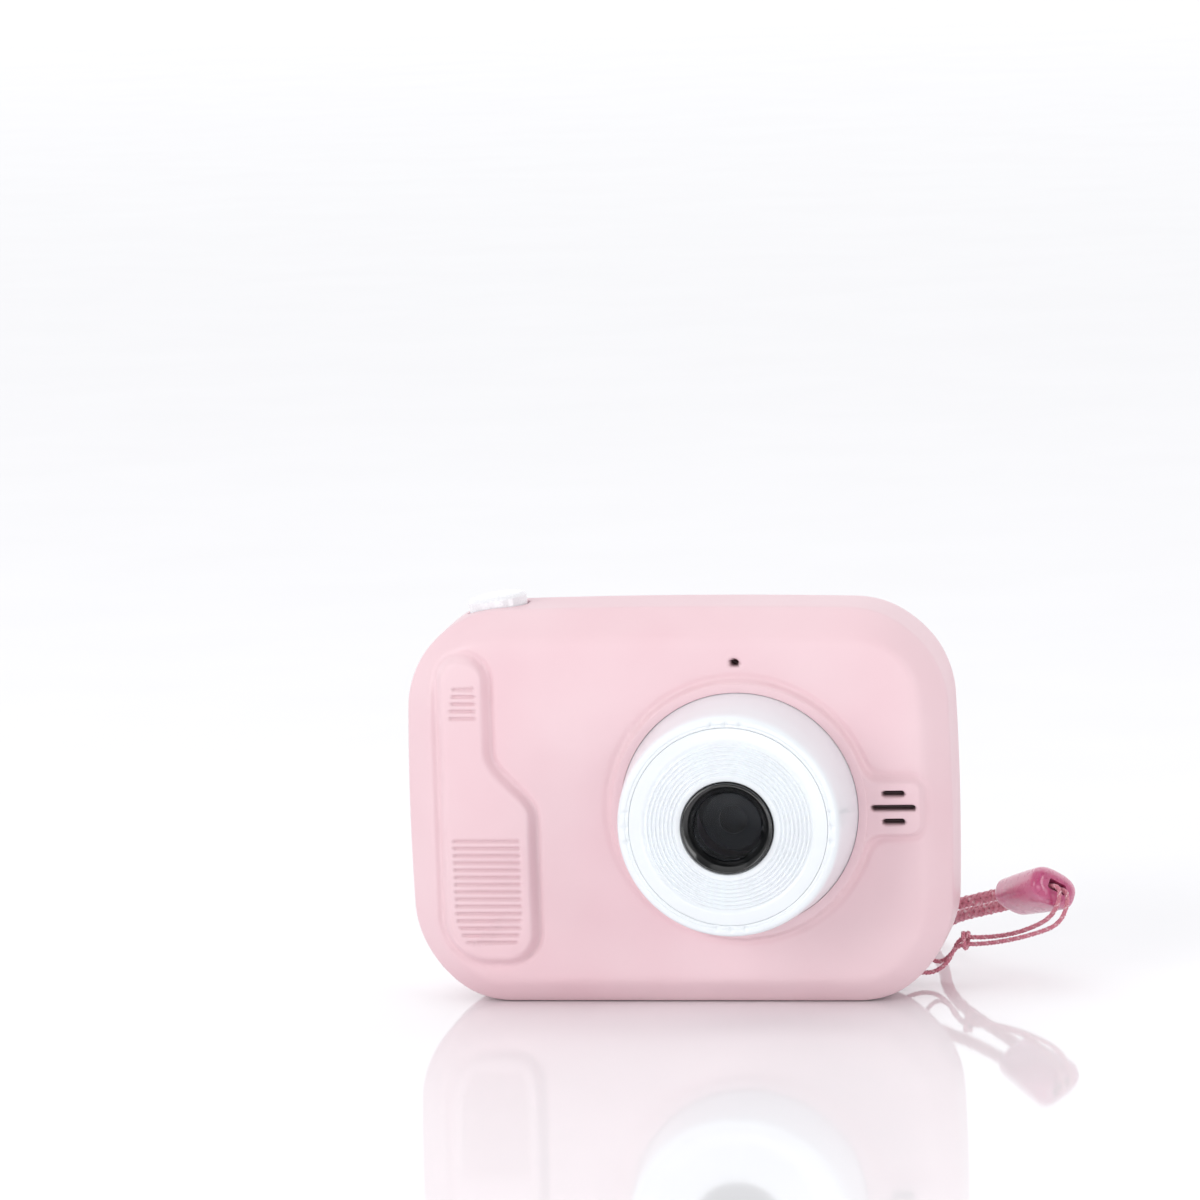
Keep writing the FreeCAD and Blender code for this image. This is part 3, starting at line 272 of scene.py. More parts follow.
def moulded_part(name, light, dark, roughness, size_mm, **shader_inputs):
    """A plain moulded or pressed part: two close tones in a fine grain."""
    material, tree, shader = new_finish(name, **shader_inputs)
    fine = grain(tree, shader, size_mm, 0.01, roughness, 0.05)
    tint(tree, shader, fine, (0.3, dark), (0.7, light))
    return material


def clear_acrylic():
    """Smoked clear acrylic window: it darkens what is behind it and carries faint reflections."""
    material, tree, shader = new_finish("clear_acrylic", Roughness=0.03, IOR=1.26, Transmission_Weight=1.0)
    tint(tree, shader, noise_field(tree, 0.6), (0.3, "#A6ACB6"), (0.7, "#ACB2BC"))
    return material


def coated_lens_glass():
    """Lens glass with an anti-reflection coating; its faint violet reflection is painted into the colour,
    stronger towards grazing angles.
    """
    material, tree, shader = new_finish("coated_lens_glass", Roughness=0.2, Coat_Weight=0.05,
                                        Specular_IOR_Level=0.25)
    facing = add_node(tree, "LayerWeight", inputs={"Blend": 0.35}).outputs["Facing"]
    # painted reflection: near black head-on, violet-blue towards the edges
    tint(tree, shader, facing, (0.0, "#07080C"), (0.6, "#15122A"), (1.0, "#2A3A5A"))
    return material


def screen_glass():
    """Black-backed glossy acrylic over a dark display; the lit area is a shade greyer than its border."""
    material, tree, shader = new_finish("screen_glass", Roughness=0.06, Coat_Weight=0.5, Coat_Roughness=0.03)
    low, high = piece_box("screen_window")
    centre = (low + high) / 2
    lit_width, lit_height = 19.6, 14.6      # half of each
    parts = add_node(tree, "SeparateXYZ", inputs={"Vector": object_coordinates(tree)})
    inside = []
    for axis, middle, reach in (("X", centre[0], lit_width), ("Z", centre[2], lit_height)):
        off = add_node(tree, "Math", {"operation": "SUBTRACT"}, {0: parts.outputs[axis], 1: middle})
        away = add_node(tree, "Math", {"operation": "ABSOLUTE"}, {0: off.outputs[0]})
        inside.append(add_node(tree, "Math", {"operation": "LESS_THAN"},
                               {0: away.outputs[0], 1: reach}).outputs[0])
    both = add_node(tree, "Math", {"operation": "MULTIPLY"}, {0: inside[0], 1: inside[1]})
    tint(tree, shader, both.outputs[0], (0.0, "#08090A"), (1.0, "#16191D"))
    return material


def braided_polyester():
    """Shiny braided polyester yarn: pink strands, some paler, with fine filaments along each strand."""
    material, tree, shader = new_finish("braided_polyester", Sheen_Weight=0.35, Sheen_Roughness=0.4,
                                        Specular_IOR_Level=0.5)
    shader.inputs["Sheen Tint"].default_value = linear("#FFD9E4")
    tone = add_node(tree, "Attribute", {"attribute_name": "tone"}).outputs["Fac"]
    flat = add_node(tree, "UVMap", {"uv_map": "along"}).outputs["UV"]
    across = add_node(tree, "Mapping", inputs={"Vector": flat, "Scale": (6.0, 0.6, 1.0)})
    yarn = add_node(tree, "TexNoise", inputs={"Vector": across.outputs["Vector"], "Scale": 3.0,
                                              "Detail": 4.0})
    colour = ramp(tree, tone, [(0.0, linear("#D4748A")), (0.55, linear("#E599A9")), (1.0, linear("#FBD9DF"))])
    shade = ramp(tree, yarn.outputs["Fac"], [(0.3, (0.72, 0.72, 0.72, 1)), (0.7, (1, 1, 1, 1))])
    mixed = add_node(tree, "Mix", {"data_type": "RGBA", "blend_type": "MULTIPLY"}, {"Factor": 1.0})
    tree.links.new(colour, mixed.inputs[6])
    tree.links.new(shade, mixed.inputs[7])
    tree.links.new(mixed.outputs[2], shader.inputs["Base Color"])
    bump = add_node(tree, "Bump", inputs={"Height": yarn.outputs["Fac"], "Strength": 0.5,
                                          "Distance": 0.06 * MM})
    tree.links.new(bump.outputs["Normal"], shader.inputs["Normal"])
    shader.inputs["Roughness"].default_value = 0.42
    return material


def glossy_polypropylene():
    """Translucent pink polypropylene: deep colour where thick, soft light inside, wet-looking highlights, and
    painted shade inside the slot.
    """
    material, tree, shader = new_finish("glossy_polypropylene", Transmission_Weight=0.15,
                                        Subsurface_Weight=0.35, Subsurface_Scale=0.002, Coat_Weight=0.7,
                                        Coat_Roughness=0.08, IOR=1.49)
    grain(tree, shader, 2.0, 0.0, 0.28, 0.05)
    shader.inputs["Subsurface Radius"].default_value = (1.0, 0.45, 0.6)
    tone = ramp(tree, noise_field(tree, 0.25, 3.0), [(0.3, linear("#B84674")), (0.7, linear("#C85A88"))])
    # painted shade: darker pink inside the clasp's slot
    paint_hollow_shade(tree, shader, tone, "#7A2A50")
    return material


finishes = {
    "pink_shell": satin_pink_abs(),
    "white_gloss": gloss_white_abs(),
    "black_gloss": gloss_black_abs(),
    "clear_glass": clear_acrylic(),
    "lens_glass": coated_lens_glass(),
    "screen_gloss": screen_glass(),
    "pink_cord": braided_polyester(),
    "clasp_gloss": glossy_polypropylene(),
    "black_plastic": moulded_part("matt_black_abs", "#17191C", "#121416", 0.5, 0.3),
    "sensor_glass": moulded_part("sensor_glass", "#2A3550", "#1B2338", 0.12, 0.3),
    "circuit_board": moulded_part("green_solder_mask", "#1F5C3A", "#17492E", 0.35, 0.4),
    "flex_film": moulded_part("polyimide_film", "#C07A2A", "#A96820", 0.3, 0.4),
    "screw_steel": moulded_part("zinc_plated_steel", "#C9CACD", "#B4B6BA", 0.3, 0.12, Metallic=1.0),
    "foam_pad": moulded_part("closed_cell_foam", "#3A3A3C", "#2A2A2C", 0.85, 0.35),
    "battery_foil": moulded_part("aluminium_laminate", "#C6C9CC", "#B7BABD", 0.32, 0.3, Metallic=0.9),
    "dark_cloth": moulded_part("speaker_cloth", "#1D1D1F", "#0F0F10", 0.9, 0.1),
    "silver_gloss": moulded_part("pearl_white_abs", "#F1F1F4", "#E6E6EA", 0.16, 0.3, Coat_Weight=0.6,
                                 Coat_Roughness=0.06),
    "pink_rubber": moulded_part("moulded_silicone", "#EFC6CF", "#EABDC7", 0.6, 0.2),
}
print("finishes:", len(finishes))

# %% [markdown]
# ## Dressing the mechanical pieces
#
# Pieces whose shape is already right keep it and only get their real finish: keys, flap, screws, window,
# boards and the glass.  The record's slot names say which finish each piece takes.

# %% Finish for every mechanical piece
slot_of = {part["node"]: part["material_slot"] for part in frame["record"]["subparts"]}
for node in frame["nodes"]:
    thing = bpy.data.objects.get(node) if isinstance(node, str) else node
    name = thing.name
    wanted = "lens_glass" if name in ("lens_front_element", "lens_rear_element") else slot_of[name]
    if not thing.data.materials:
        thing.data.materials.append(finishes[wanted])
    for place in range(len(thing.material_slots)):
        thing.material_slots[place].material = finishes[wanted]
print("dressed", len(slot_of), "pieces")

# %% [markdown]
# ## Surfaces from arrays
#
# Every new piece is a grid of points worked out with whole arrays.  This helper turns such a grid into a
# mesh: neighbouring points make four-sided faces, and a grid can close on itself round its columns.

# %% Grid to mesh


def grid_surface(name, points, finish, close_columns=False, flip=False, values=None, uv=None):
    """A mesh from points of shape (rows, columns, 3) in millimetres, with optional per-point values."""
    rows, columns = points.shape[:2]
    index = np.arange(rows * columns).reshape(rows, columns)
    if close_columns:
        index = np.hstack([index, index[:, :1]])
    corners = [index[:-1, :-1], index[1:, :-1], index[1:, 1:], index[:-1, 1:]]
    faces = np.stack(corners, axis=-1).reshape(-1, 4)
    if flip:
        faces = faces[:, ::-1]
    mesh = bpy.data.meshes.new(name)
    mesh.vertices.add(rows * columns)
    mesh.vertices.foreach_set("co", (points * MM).astype(np.float32).ravel())
    mesh.loops.add(faces.size)
    mesh.loops.foreach_set("vertex_index", faces.astype(np.int32).ravel())
    mesh.polygons.add(len(faces))
    mesh.polygons.foreach_set("loop_start", np.arange(0, faces.size, 4, dtype=np.int32))
    mesh.update(calc_edges=True)
    for label, numbers in (values or {}).items():
        layer = mesh.attributes.new(label, "FLOAT", "POINT")
        layer.data.foreach_set("value", np.asarray(numbers, dtype=np.float32).ravel())
    if uv is not None:
        layer = mesh.uv_layers.new(name="along")
        layer.data.foreach_set("uv", uv.reshape(-1, 2)[faces.ravel()].astype(np.float32).ravel())
    mesh.validate()
    mesh.shade_smooth()
    thing = bpy.data.objects.new(name, mesh)
    bpy.context.scene.collection.objects.link(thing)
    thing.data.materials.append(finish)
    return thing


def soft_ramp(x, width):
    """max(x, 0) with its corner rounded by a hyperbola of this width."""
    return 0.5 * (x + np.sqrt(x * x + width * width))


def smooth_step(x):
    """0 below 0, 1 above 1, and a cubic ease between."""
    x = np.clip(x, 0, 1)
    return x * x * (3 - 2 * x)


def spaced(*runs):
    """Grid lines from (start, stop, step) runs, joined end to end."""
    lines = [np.linspace(start, stop, max(2, int(round((stop - start) / step)) + 1))
             for start, stop, step in runs]
    return np.unique(np.round(np.concatenate(lines), 5))


# %% [markdown]
# ## Distance fields
#
# The soft shapes moulded into the face are easiest to describe by a distance: how far a point lies outside
# an outline.  A height is then a smooth function of that distance, which gives rounded shoulders and a faint
# moat round the grip, the way the real moulding blends into the face.

# %% Distance helpers


def box_distance(x, z, centre, size, radius):
    """Distance outside a round-cornered box; negative inside."""
    dx = np.abs(x - centre[0]) - size[0] / 2 + radius
    dz = np.abs(z - centre[1]) - size[1] / 2 + radius
    outside = np.hypot(np.maximum(dx, 0), np.maximum(dz, 0))
    return outside + np.minimum(np.maximum(dx, dz), 0) - radius


def smooth_union(a, b, width):
    """The smaller of two distances, blended where they are within width of each other."""
    mix = np.clip(0.5 + 0.5 * (b - a) / width, 0, 1)
    return b * (1 - mix) + a * mix - width * mix * (1 - mix)


# %% [markdown]
# ## Wrapping a flat grid round the case
#
# Both shells are one rectangular grid wrapped round the rounded case.  Grid lines run straight over the face
# and bend with the corners, so the case's edges follow them exactly.  In each corner a square of the grid is
# turned into a quarter disc: a point's distance along the square becomes its radius and its slope becomes
# its angle.

# %% Case wrapping


def wrap_case(a, b, step_in):
    """Grid coordinates to case coordinates; step_in turns the distance from the rim into the inset."""
    inner_x, inner_z = half_width - corner_radius, half_height - corner_radius
    p = np.abs(a) - inner_x
    q = np.abs(b) - inner_z
    far = np.maximum(p, q)
    along = corner_radius - far
    radius = corner_radius - step_in(along)
    angle = np.where(p >= q, (math.pi / 4) * q / np.where(p == 0, 1e-9, p),
                     math.pi / 2 - (math.pi / 4) * p / np.where(q == 0, 1e-9, q))
    corner = (p > 0) & (q > 0)
    x = np.where(p >= q, inner_x + radius, np.abs(a))
    z = np.where(q > p, inner_z + radius, np.abs(b))
    on_face = (p < 0) & (q < 0)
    x = np.where(on_face, np.abs(a), x)
    z = np.where(on_face, np.abs(b), z)
    x = np.where(corner, inner_x + radius * np.cos(angle), x)
    z = np.where(corner, inner_z + radius * np.sin(angle), z)
    return np.sign(a) * x, np.sign(b) * z, along


def crown_sides(x, z):
    """Bow the sides and the top: drawn in at the ends of each, not at its middle or on the underside."""
    side_bow, top_bow = 1.1, 0.8
    rim_start, rim_width = 0.72, 0.28       # as parts of the half width and half height
    side = smooth_step((np.abs(x) / half_width - rim_start) / rim_width)
    top = smooth_step((z / half_height - rim_start) / rim_width)
    new_x = x - np.sign(x) * side_bow * side * (z / half_height) ** 2
    new_z = z - top_bow * top * (x / half_width) ** 2
    return new_x, new_z


# %% [markdown]
# ## Front shell
#
# The profile, from the seam forward, is a straight side, an edge, a sloping band and a soft edge into the
# flat face.  The lens surround, the speaker tab with its slots, the microphone hole, the grip and its ribs
# are heights on that face.  The button's well and the flap's recess are pushed in along their own directions,
# and two openings in the recess leave the charging port and the memory card in sight when the flap is open.

# %% Front shell heights
grip_rise, ring_rise = 1.25, 1.15
ring_radius = 19.5
button_tilt = math.radians(8.0)
button_spot = np.array([-27.5, 0.0, 59.9])
button_axis = np.array([-math.sin(button_tilt), 0.0, math.cos(button_tilt)])


def grip_distance(x, z):
    """Distance outside the grip, whose right edge swings out from the narrow top to the wide foot.

    The right edge is x = wide - swing * ease((z - start) / rise), so the distance to it is divided by the
    length of its slope; the other sides are straight and every corner is rounded.
    """
    wide, swing, start, rise = -20.9, 6.5, -0.8, 9.6
    left, middle, half_tall = -35.7, 0.1, 23.55
    top_round, left_foot_round, right_foot_round = 3.9, 7.2, 5.2
    t = np.clip((z - start) / rise, 0, 1)
    edge = wide - swing * t * t * (3 - 2 * t)
    lean = swing * 6 * t * (1 - t) / rise
    across = np.maximum((x - edge) / np.sqrt(1 + lean * lean), left - x)
    upright = np.abs(z - middle) - half_tall
    foot_round = np.where(x < (left + edge) / 2, left_foot_round, right_foot_round)
    round_off = np.where(z > 0, top_round, foot_round)
    inside_x, inside_z = across + round_off, upright + round_off
    outside = np.hypot(np.maximum(inside_x, 0), np.maximum(inside_z, 0))
    return outside + np.minimum(np.maximum(inside_x, inside_z), 0) - round_off


def rib_depth(x, z):
    """Grooves across the grip: five above, fifteen below; the lowest few shorten to follow its foot."""
    pitch, half, deep, edge = 1.1, 0.22, 0.42, 0.2
    short_rows, short_left, short_right = 3.6, 1.55, 0.85
    upper = {"first": 14.13, "count": 5, "left": -33.4, "right": -29.5, "slant": 0.16, "foot": 0}
    lower = {"first": -19.85, "count": 15, "left": -33.4, "right": -23.45, "slant": 0, "foot": 1}
    depth = np.zeros_like(x)
    for block in (upper, lower):
        row = np.clip(np.round((z - block["first"]) / pitch), 0, block["count"] - 1)
        gap = np.abs(z - block["first"] - row * pitch)
        shorten = block["foot"] * np.clip((short_rows - row) / short_rows, 0, 1) ** 1.3
        start = block["left"] + short_left * shorten + block["slant"] * row
        stop = block["right"] - short_right * shorten
        distance = np.maximum(gap - half, np.maximum(start - x, x - stop))
        depth = np.maximum(depth, deep * smooth_step(0.5 - distance / edge))
    return depth


def front_heights(x, z):
    """Height of everything moulded on the face, and how much painted shade each point gets from lying in a
    hole or groove.
    """
    grip = grip_distance(x, z)
    grip_shoulder, grip_moat, moat_width = 1.35, 0.34, 0.5
    height = grip_rise * smooth_step(-grip / grip_shoulder)
    height -= grip_moat * np.exp(-(grip / moat_width) ** 2)
    ribs = rib_depth(x, z)
    height -= ribs
    reach = np.hypot(x - lens_x, z - (lens_z - half_height))
    tab_middle, slot_middle, slot_pitch = 0.35, 32.75, 2.1
    tab = box_distance(x, z, (31.0, tab_middle), (12.0, 8.4), 2.0)
    blend, shoulder, moat = 2.4, 0.55, 0.2
    surround = smooth_union(reach - ring_radius, tab, blend)
    height += ring_rise * smooth_step((0.2 - surround) / shoulder)
    height -= moat * np.exp(-((surround - 0.5) / 0.4) ** 2)
    slots = np.full_like(x, np.inf)
    for row, length in ((0, 6.5), (1, 3.3), (-1, 3.3)):
        middle = (slot_middle, tab_middle + row * slot_pitch)
        slots = np.minimum(slots, box_distance(x, z, middle, (length, 0.8), 0.39))
    microphone = np.hypot((x - lens_x + 0.3) / 0.72, (z - 22.05) / 0.52) - 1.0
    holes = np.maximum(smooth_step(0.5 - slots / 0.2), smooth_step(0.5 - microphone / 0.5))
    hole_depth, seat_depth, seat_radius = 1.6, 2.6, 18.4
    height -= hole_depth * holes
    height -= seat_depth * (reach < seat_radius)
    # painted shade: full in the slots and the microphone hole, faint in the rib grooves
    hollow = np.clip(holes + 0.18 * ribs, 0, 1)
    return height, hollow


# %% Front shell surface


def front_shell():
    """One wrapped grid for the whole front shell, from the seam's lip to the face.

    The grid's lines lie closest over the ribs, the slots, the flap's recess and the edges.
    """
    left = spaced((-half_width - 11.4, -half_width - 9.2, 0.2), (-half_width - 9.2, -half_width - 0.9, 0.26),
                  (-half_width - 0.9, -half_width + 0.9, 0.15), (-half_width + 0.9, -20.0, 0.27))
    right = spaced((-20.0, 25.0, 0.42), (25.0, half_width - 0.9, 0.27),
                   (half_width - 0.9, half_width + 0.9, 0.15), (half_width + 0.9, half_width + 9.2, 0.6),
                   (half_width + 9.2, half_width + 11.4, 0.2))
    across = np.union1d(left, right)
    upward = spaced((-half_height - 11.4, -half_height - 9.2, 0.2),
                    (-half_height - 9.2, -half_height - 0.9, 0.7),
                    (-half_height - 0.9, -half_height + 0.9, 0.2), (-half_height + 0.9, -21.4, 0.4),
                    (-21.4, -4.4, 0.157), (-4.4, 3.4, 0.2), (3.4, 13.0, 0.4), (13.0, 19.0, 0.16),
                    (19.0, half_height - 0.9, 0.3), (half_height - 0.9, half_height + 0.9, 0.2),
                    (half_height + 0.9, half_height + 9.2, 0.26),
                    (half_height + 9.2, half_height + 11.4, 0.2))
    b, a = np.meshgrid(upward, across, indexing="ij")
    lip = side_forward + seam_y
    slope = (face_forward - side_forward) / front_bevel
    edge_round, lip_round, face_round = 0.45, 0.18, 0.95

    def step_in(along):
        """Nothing along the straight side; inwards over the face, and at the seam's lip."""
        return soft_ramp(along, edge_round) + soft_ramp(-along - lip + 0.1, lip_round)

    x, z, along = wrap_case(a, b, step_in)
    y = (-side_forward + soft_ramp(-along, edge_round) - soft_ramp(-along - lip + 0.1, lip_round)
         - slope * (soft_ramp(along, edge_round) - soft_ramp(along - front_bevel, face_round)))
    x, z = crown_sides(x, z)
    height, hollow = front_heights(x, z)
    height = height * smooth_step((along + 0.2) / 1.2)
    points = np.stack([x, y - height, z + half_height], axis=-1)
    points, well = sink_button_well(points)
    points, openings = sink_flap_recess(points)
    # painted shade in the holes and grooves, the button's well and the openings round the port and the card
    hollow = np.clip(hollow * (along > 0.5) + 0.35 * well + 0.6 * openings, 0, 1)
    print("front shell grid", points.shape[:2])
    return grid_surface("front_shell", points, finishes["pink_shell"], values={"hollow": hollow}, flip=True)


def sink_button_well(points):
    """Push points within the button's radius down along its tilted axis."""
    well_radius, well_depth = 4.68, 2.2
    away = points - button_spot
    rise = away @ button_axis
    reach = np.linalg.norm(away - rise[..., None] * button_axis, axis=-1)
    inside = smooth_step((well_radius - reach) / 0.25) * (rise > -6)
    return points - (inside * well_depth)[..., None] * button_axis, inside


def sink_flap_recess(points):
    """Push points inside the flap's outline into the left side, and deeper round the port and the card."""
    recess_depth, opening_depth, edge = 1.45, 2.4, 0.25

    def inside_box(node, room, radius):
        """1 within a piece's outline as seen from the side, with some room round it."""
        low, high = piece_box(node)
        middle, size = (low[1:] + high[1:]) / 2, high[1:] - low[1:] + room
        return smooth_step(0.5 - box_distance(points[..., 1], points[..., 2], middle, size, radius) / edge)

    recess = inside_box("port_flap", 0.45, 0.7) * (points[..., 0] < -half_width + 2)
    openings = recess * np.maximum(inside_box("charging_port", 0.5, 0.5), inside_box("memory_card", 0.5, 0.5))
    moved = points.copy()
    moved[..., 0] += recess_depth * recess + opening_depth * openings
    return moved, openings


shell = front_shell()
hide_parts("front_cover")
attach(shell, "root")

# %% [markdown]
# ## Turned pieces
#
# The lens surround's inner lip, the barrel, its front ring and the bezel are turned shapes: a profile of
# radius and forward distance carried round the lens axis.  Corners of a profile are rounded with a short
# parabola between two points a little before and after the corner.

# %% Turning helper


def round_profile(stops, steps=6):
    """Profile points from (radius, forward, rounding) stops; each corner becomes a short parabola."""
    stops = [np.array(s, dtype=float) for s in stops]
    line = [stops[0][:2]]
    t = np.linspace(0, 1, steps)[:, None]
    for before, here, after in zip(stops, stops[1:], stops[2:]):
        back, ahead = before[:2] - here[:2], after[:2] - here[:2]
        reach_back = min(here[2], 0.49 * np.linalg.norm(back))
        reach_ahead = min(here[2], 0.49 * np.linalg.norm(ahead))
        start = here[:2] + back / np.linalg.norm(back) * reach_back
        stop = here[:2] + ahead / np.linalg.norm(ahead) * reach_ahead
        line.extend((1 - t) ** 2 * start + 2 * t * (1 - t) * here[:2] + t ** 2 * stop)
    line.append(stops[-1][:2])
    return np.array(line)


def turned_piece(name, stops, finish, count=256, dent=None):
    """Carry a profile round the lens axis; dent may push points back as a function of angle and radius."""
    profile = round_profile(stops)
    angle = np.linspace(0, 2 * math.pi, count, endpoint=False)
    radius = np.repeat(profile[:, :1], count, axis=1)
    forward = np.repeat(profile[:, 1:], count, axis=1)
    around = np.repeat(angle[None, :], len(profile), axis=0)
    if dent is not None:
        forward = forward - dent(around, radius)
    points = np.stack([lens_x + radius * np.cos(around), -forward, lens_z + radius * np.sin(around)], axis=-1)
    return grid_surface(name, points, finish, close_columns=True)


# %% Surround lip, barrel, ring and bezel
face_top = face_forward + ring_rise
lip = turned_piece("surround_lip", [(16.0, face_forward - 0.76, 0), (18.0, face_forward - 0.74, 0.05),
                                    (17.76, face_top - 0.02, 0.12), (18.5, face_top + 0.04, 0.2),
                                    (19.05, face_top + 0.03, 0.1), (19.2, face_top - 0.5, 0)],
                   finishes["pink_shell"])
barrel_rim = bezel_front - 2.4


def thumb_notches(angle, radius):
    """Four groups of three small dents in the barrel's lip, one group on each side."""
    spacing, depth, width = 8.1, 0.36, 0.36      # degrees, then millimetres
    lip_radius, lip_width = 15.25, 0.38
    degrees = np.degrees(angle) % 90
    degrees = np.where(degrees > 45, degrees - 90, degrees)
    nearest = np.clip(np.round(degrees / spacing), -1, 1) * spacing
    across = np.radians(degrees - nearest) * radius
    return depth * np.exp(-(across / width) ** 2) * np.exp(-((radius - lip_radius) / lip_width) ** 2)


barrel = turned_piece("lens_barrel_shell", [
    (16.2, face_forward - 0.7, 0), (17.9, face_forward - 0.7, 0.05), (16.55, barrel_rim - 0.2, 1.2),
    (16.2, barrel_rim + 0.9, 0.9), (15.35, barrel_rim + 1.0, 0.25), (15.2, barrel_rim + 0.82, 0.1),
    (14.9, barrel_rim + 0.86, 0.1), (14.72, barrel_rim + 0.72, 0.08), (14.7, barrel_rim - 1.0, 0)],
    finishes["white_gloss"], count=512, dent=thumb_notches)


def ring_profile():
    """A smooth outer band, then eight shallow rounded grooves that climb towards the bezel."""
    face = bezel_front - 1.5
    stops = [(14.69, face - 2.6, 0), (14.69, face - 0.1, 0.12), (12.9, face + 0.05, 0.4)]
    pitch, first_radius, climb = 0.62, 12.6, 0.10
    for groove in range(8):
        outer = first_radius - pitch * groove
        level = face + 0.05 + climb * groove
        for part, rise, rounding in ((0.15, -0.2, 0.16), (0.50, -0.2, 0.16), (0.70, 0.13, 0.14),
                                     (0.98, 0.13, 0.14)):
            stops.append((outer - pitch * part, level + rise, rounding))
    stops.append((6.95, face + 0.85, 0.1))
    stops.append((6.8, face + 0.4, 0))
    return stops


ring = turned_piece("grooved_ring", ring_profile(), finishes["white_gloss"])
bezel = turned_piece("bezel_funnel", [
    (6.72, bezel_front - 2.4, 0), (6.72, bezel_front - 0.1, 0.18), (6.4, bezel_front, 0.12),
    (5.75, bezel_front - 0.6, 0.4), (5.12, bezel_front - 1.5, 0.2), (5.02, bezel_front - 2.6, 0.1),
    (5.0, bezel_front - 5.4, 0)], finishes["black_gloss"])
for piece, node, slot in ((lip, "front_cover", "pink_shell"), (barrel, "lens_barrel", "white_gloss"),
                          (ring, "lens_ring", "white_gloss"), (bezel, "lens_bezel", "black_gloss")):
    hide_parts(node)
    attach(piece, "root")
print("turned pieces done")

# %% [markdown]
# ## Rear shell
#
# The back is the same wrapped grid with its own profile: a band that slopes in from the seam and a soft edge
# into the flat back.  The screen's recess, key holes and screw wells are heights on it, and the strap notch
# is cut from the corner by moving points inwards along the corner's radius.

# %% Rear shell
key_nodes = ["key_ok", "key_up", "key_down", "key_left", "key_right", "key_power", "key_mode"]


def rear_heights(x, z):
    """Depths in the back: the screen's seat, a round hole for each key and a well for each screw, with
    painted shade in the key holes and the screw wells.
    """
    low, high = piece_box("screen_window")
    centre = ((low[0] + high[0]) / 2, (low[2] + high[2]) / 2 - half_height)
    edge, seat_depth, key_depth, screw_depth = 0.22, 0.95, 1.5, 3.6
    key_flange, key_gap, screw_radius = 0.45, 0.18, 1.75
    seat = box_distance(x, z, centre, (high[0] - low[0] + 0.3, high[2] - low[2] + 0.3), 2.7)
    depth = seat_depth * smooth_step(0.5 - seat / edge)
    for node in key_nodes:
        low, high = piece_box(node)
        radius = (high[0] - low[0]) / 2 - key_flange + key_gap
        reach = np.hypot(x - (low[0] + high[0]) / 2, z - (low[2] + high[2]) / 2 + half_height) - radius
        depth = np.maximum(depth, key_depth * smooth_step(0.5 - reach / edge))
    # painted shade: half in the key holes, more in the screw wells below
    hollow = smooth_step((depth - 1.0) / 0.5) * 0.5
    for spot in screw_spots():
        reach = np.hypot(x - spot[0], z - spot[1] + half_height) - screw_radius
        depth = np.maximum(depth, screw_depth * smooth_step(0.5 - reach / edge))
    return depth, np.clip(hollow + 0.4 * smooth_step((depth - 1.6) / 1.0), 0, 1)


def screw_spots():
    """Centres of the four case screws, from their box: two on each side."""
    mesh = bpy.data.objects["case_screws"].data
    flat = np.empty(len(mesh.vertices) * 3)
    mesh.vertices.foreach_get("co", flat)
    dots = flat.reshape(-1, 3)[:, [0, 2]] / MM
    spots = []
    for side in (dots[:, 0] < 0, dots[:, 0] > 0):
        middle = dots[side][:, 1].mean()
        for level in (dots[:, 1] < middle, dots[:, 1] > middle):
            chosen = dots[side & level]
            spots.append((chosen.min(axis=0) + chosen.max(axis=0)) / 2)
    return spots


def cut_strap_notch(x, y, z):
    """Move points of the lower right corner inwards to the notch's round wall, between its side walls."""
    bar_back = piece_box("strap_bar")[0][1]
    notch_width = 5.1
    centre = np.array([half_width - corner_radius, corner_radius - half_height])
    notch = np.array([34.2, 6.0 - half_height])
    radius = 5.8
    dx, dz = x - centre[0], z - centre[1]
    reach = np.hypot(dx, dz) + 1e-9
    ux, uz = dx / reach, dz / reach
    toward = notch - centre
    along = ux * toward[0] + uz * toward[1]
    off = np.abs(ux * toward[1] - uz * toward[0])
    wall = along - np.sqrt(np.maximum(radius ** 2 - off ** 2, 0))
    between = (smooth_step((y - bar_back - 0.75) / 0.3)
               * smooth_step((bar_back + notch_width - y) / 0.3))
    open_part = smooth_step((radius - off) / 0.5) * (dx > 0) * (dz < 0) * between
    new_reach = np.where(reach > wall, reach + (wall - reach) * open_part, reach)
    return centre[0] + ux * new_reach, centre[1] + uz * new_reach, open_part


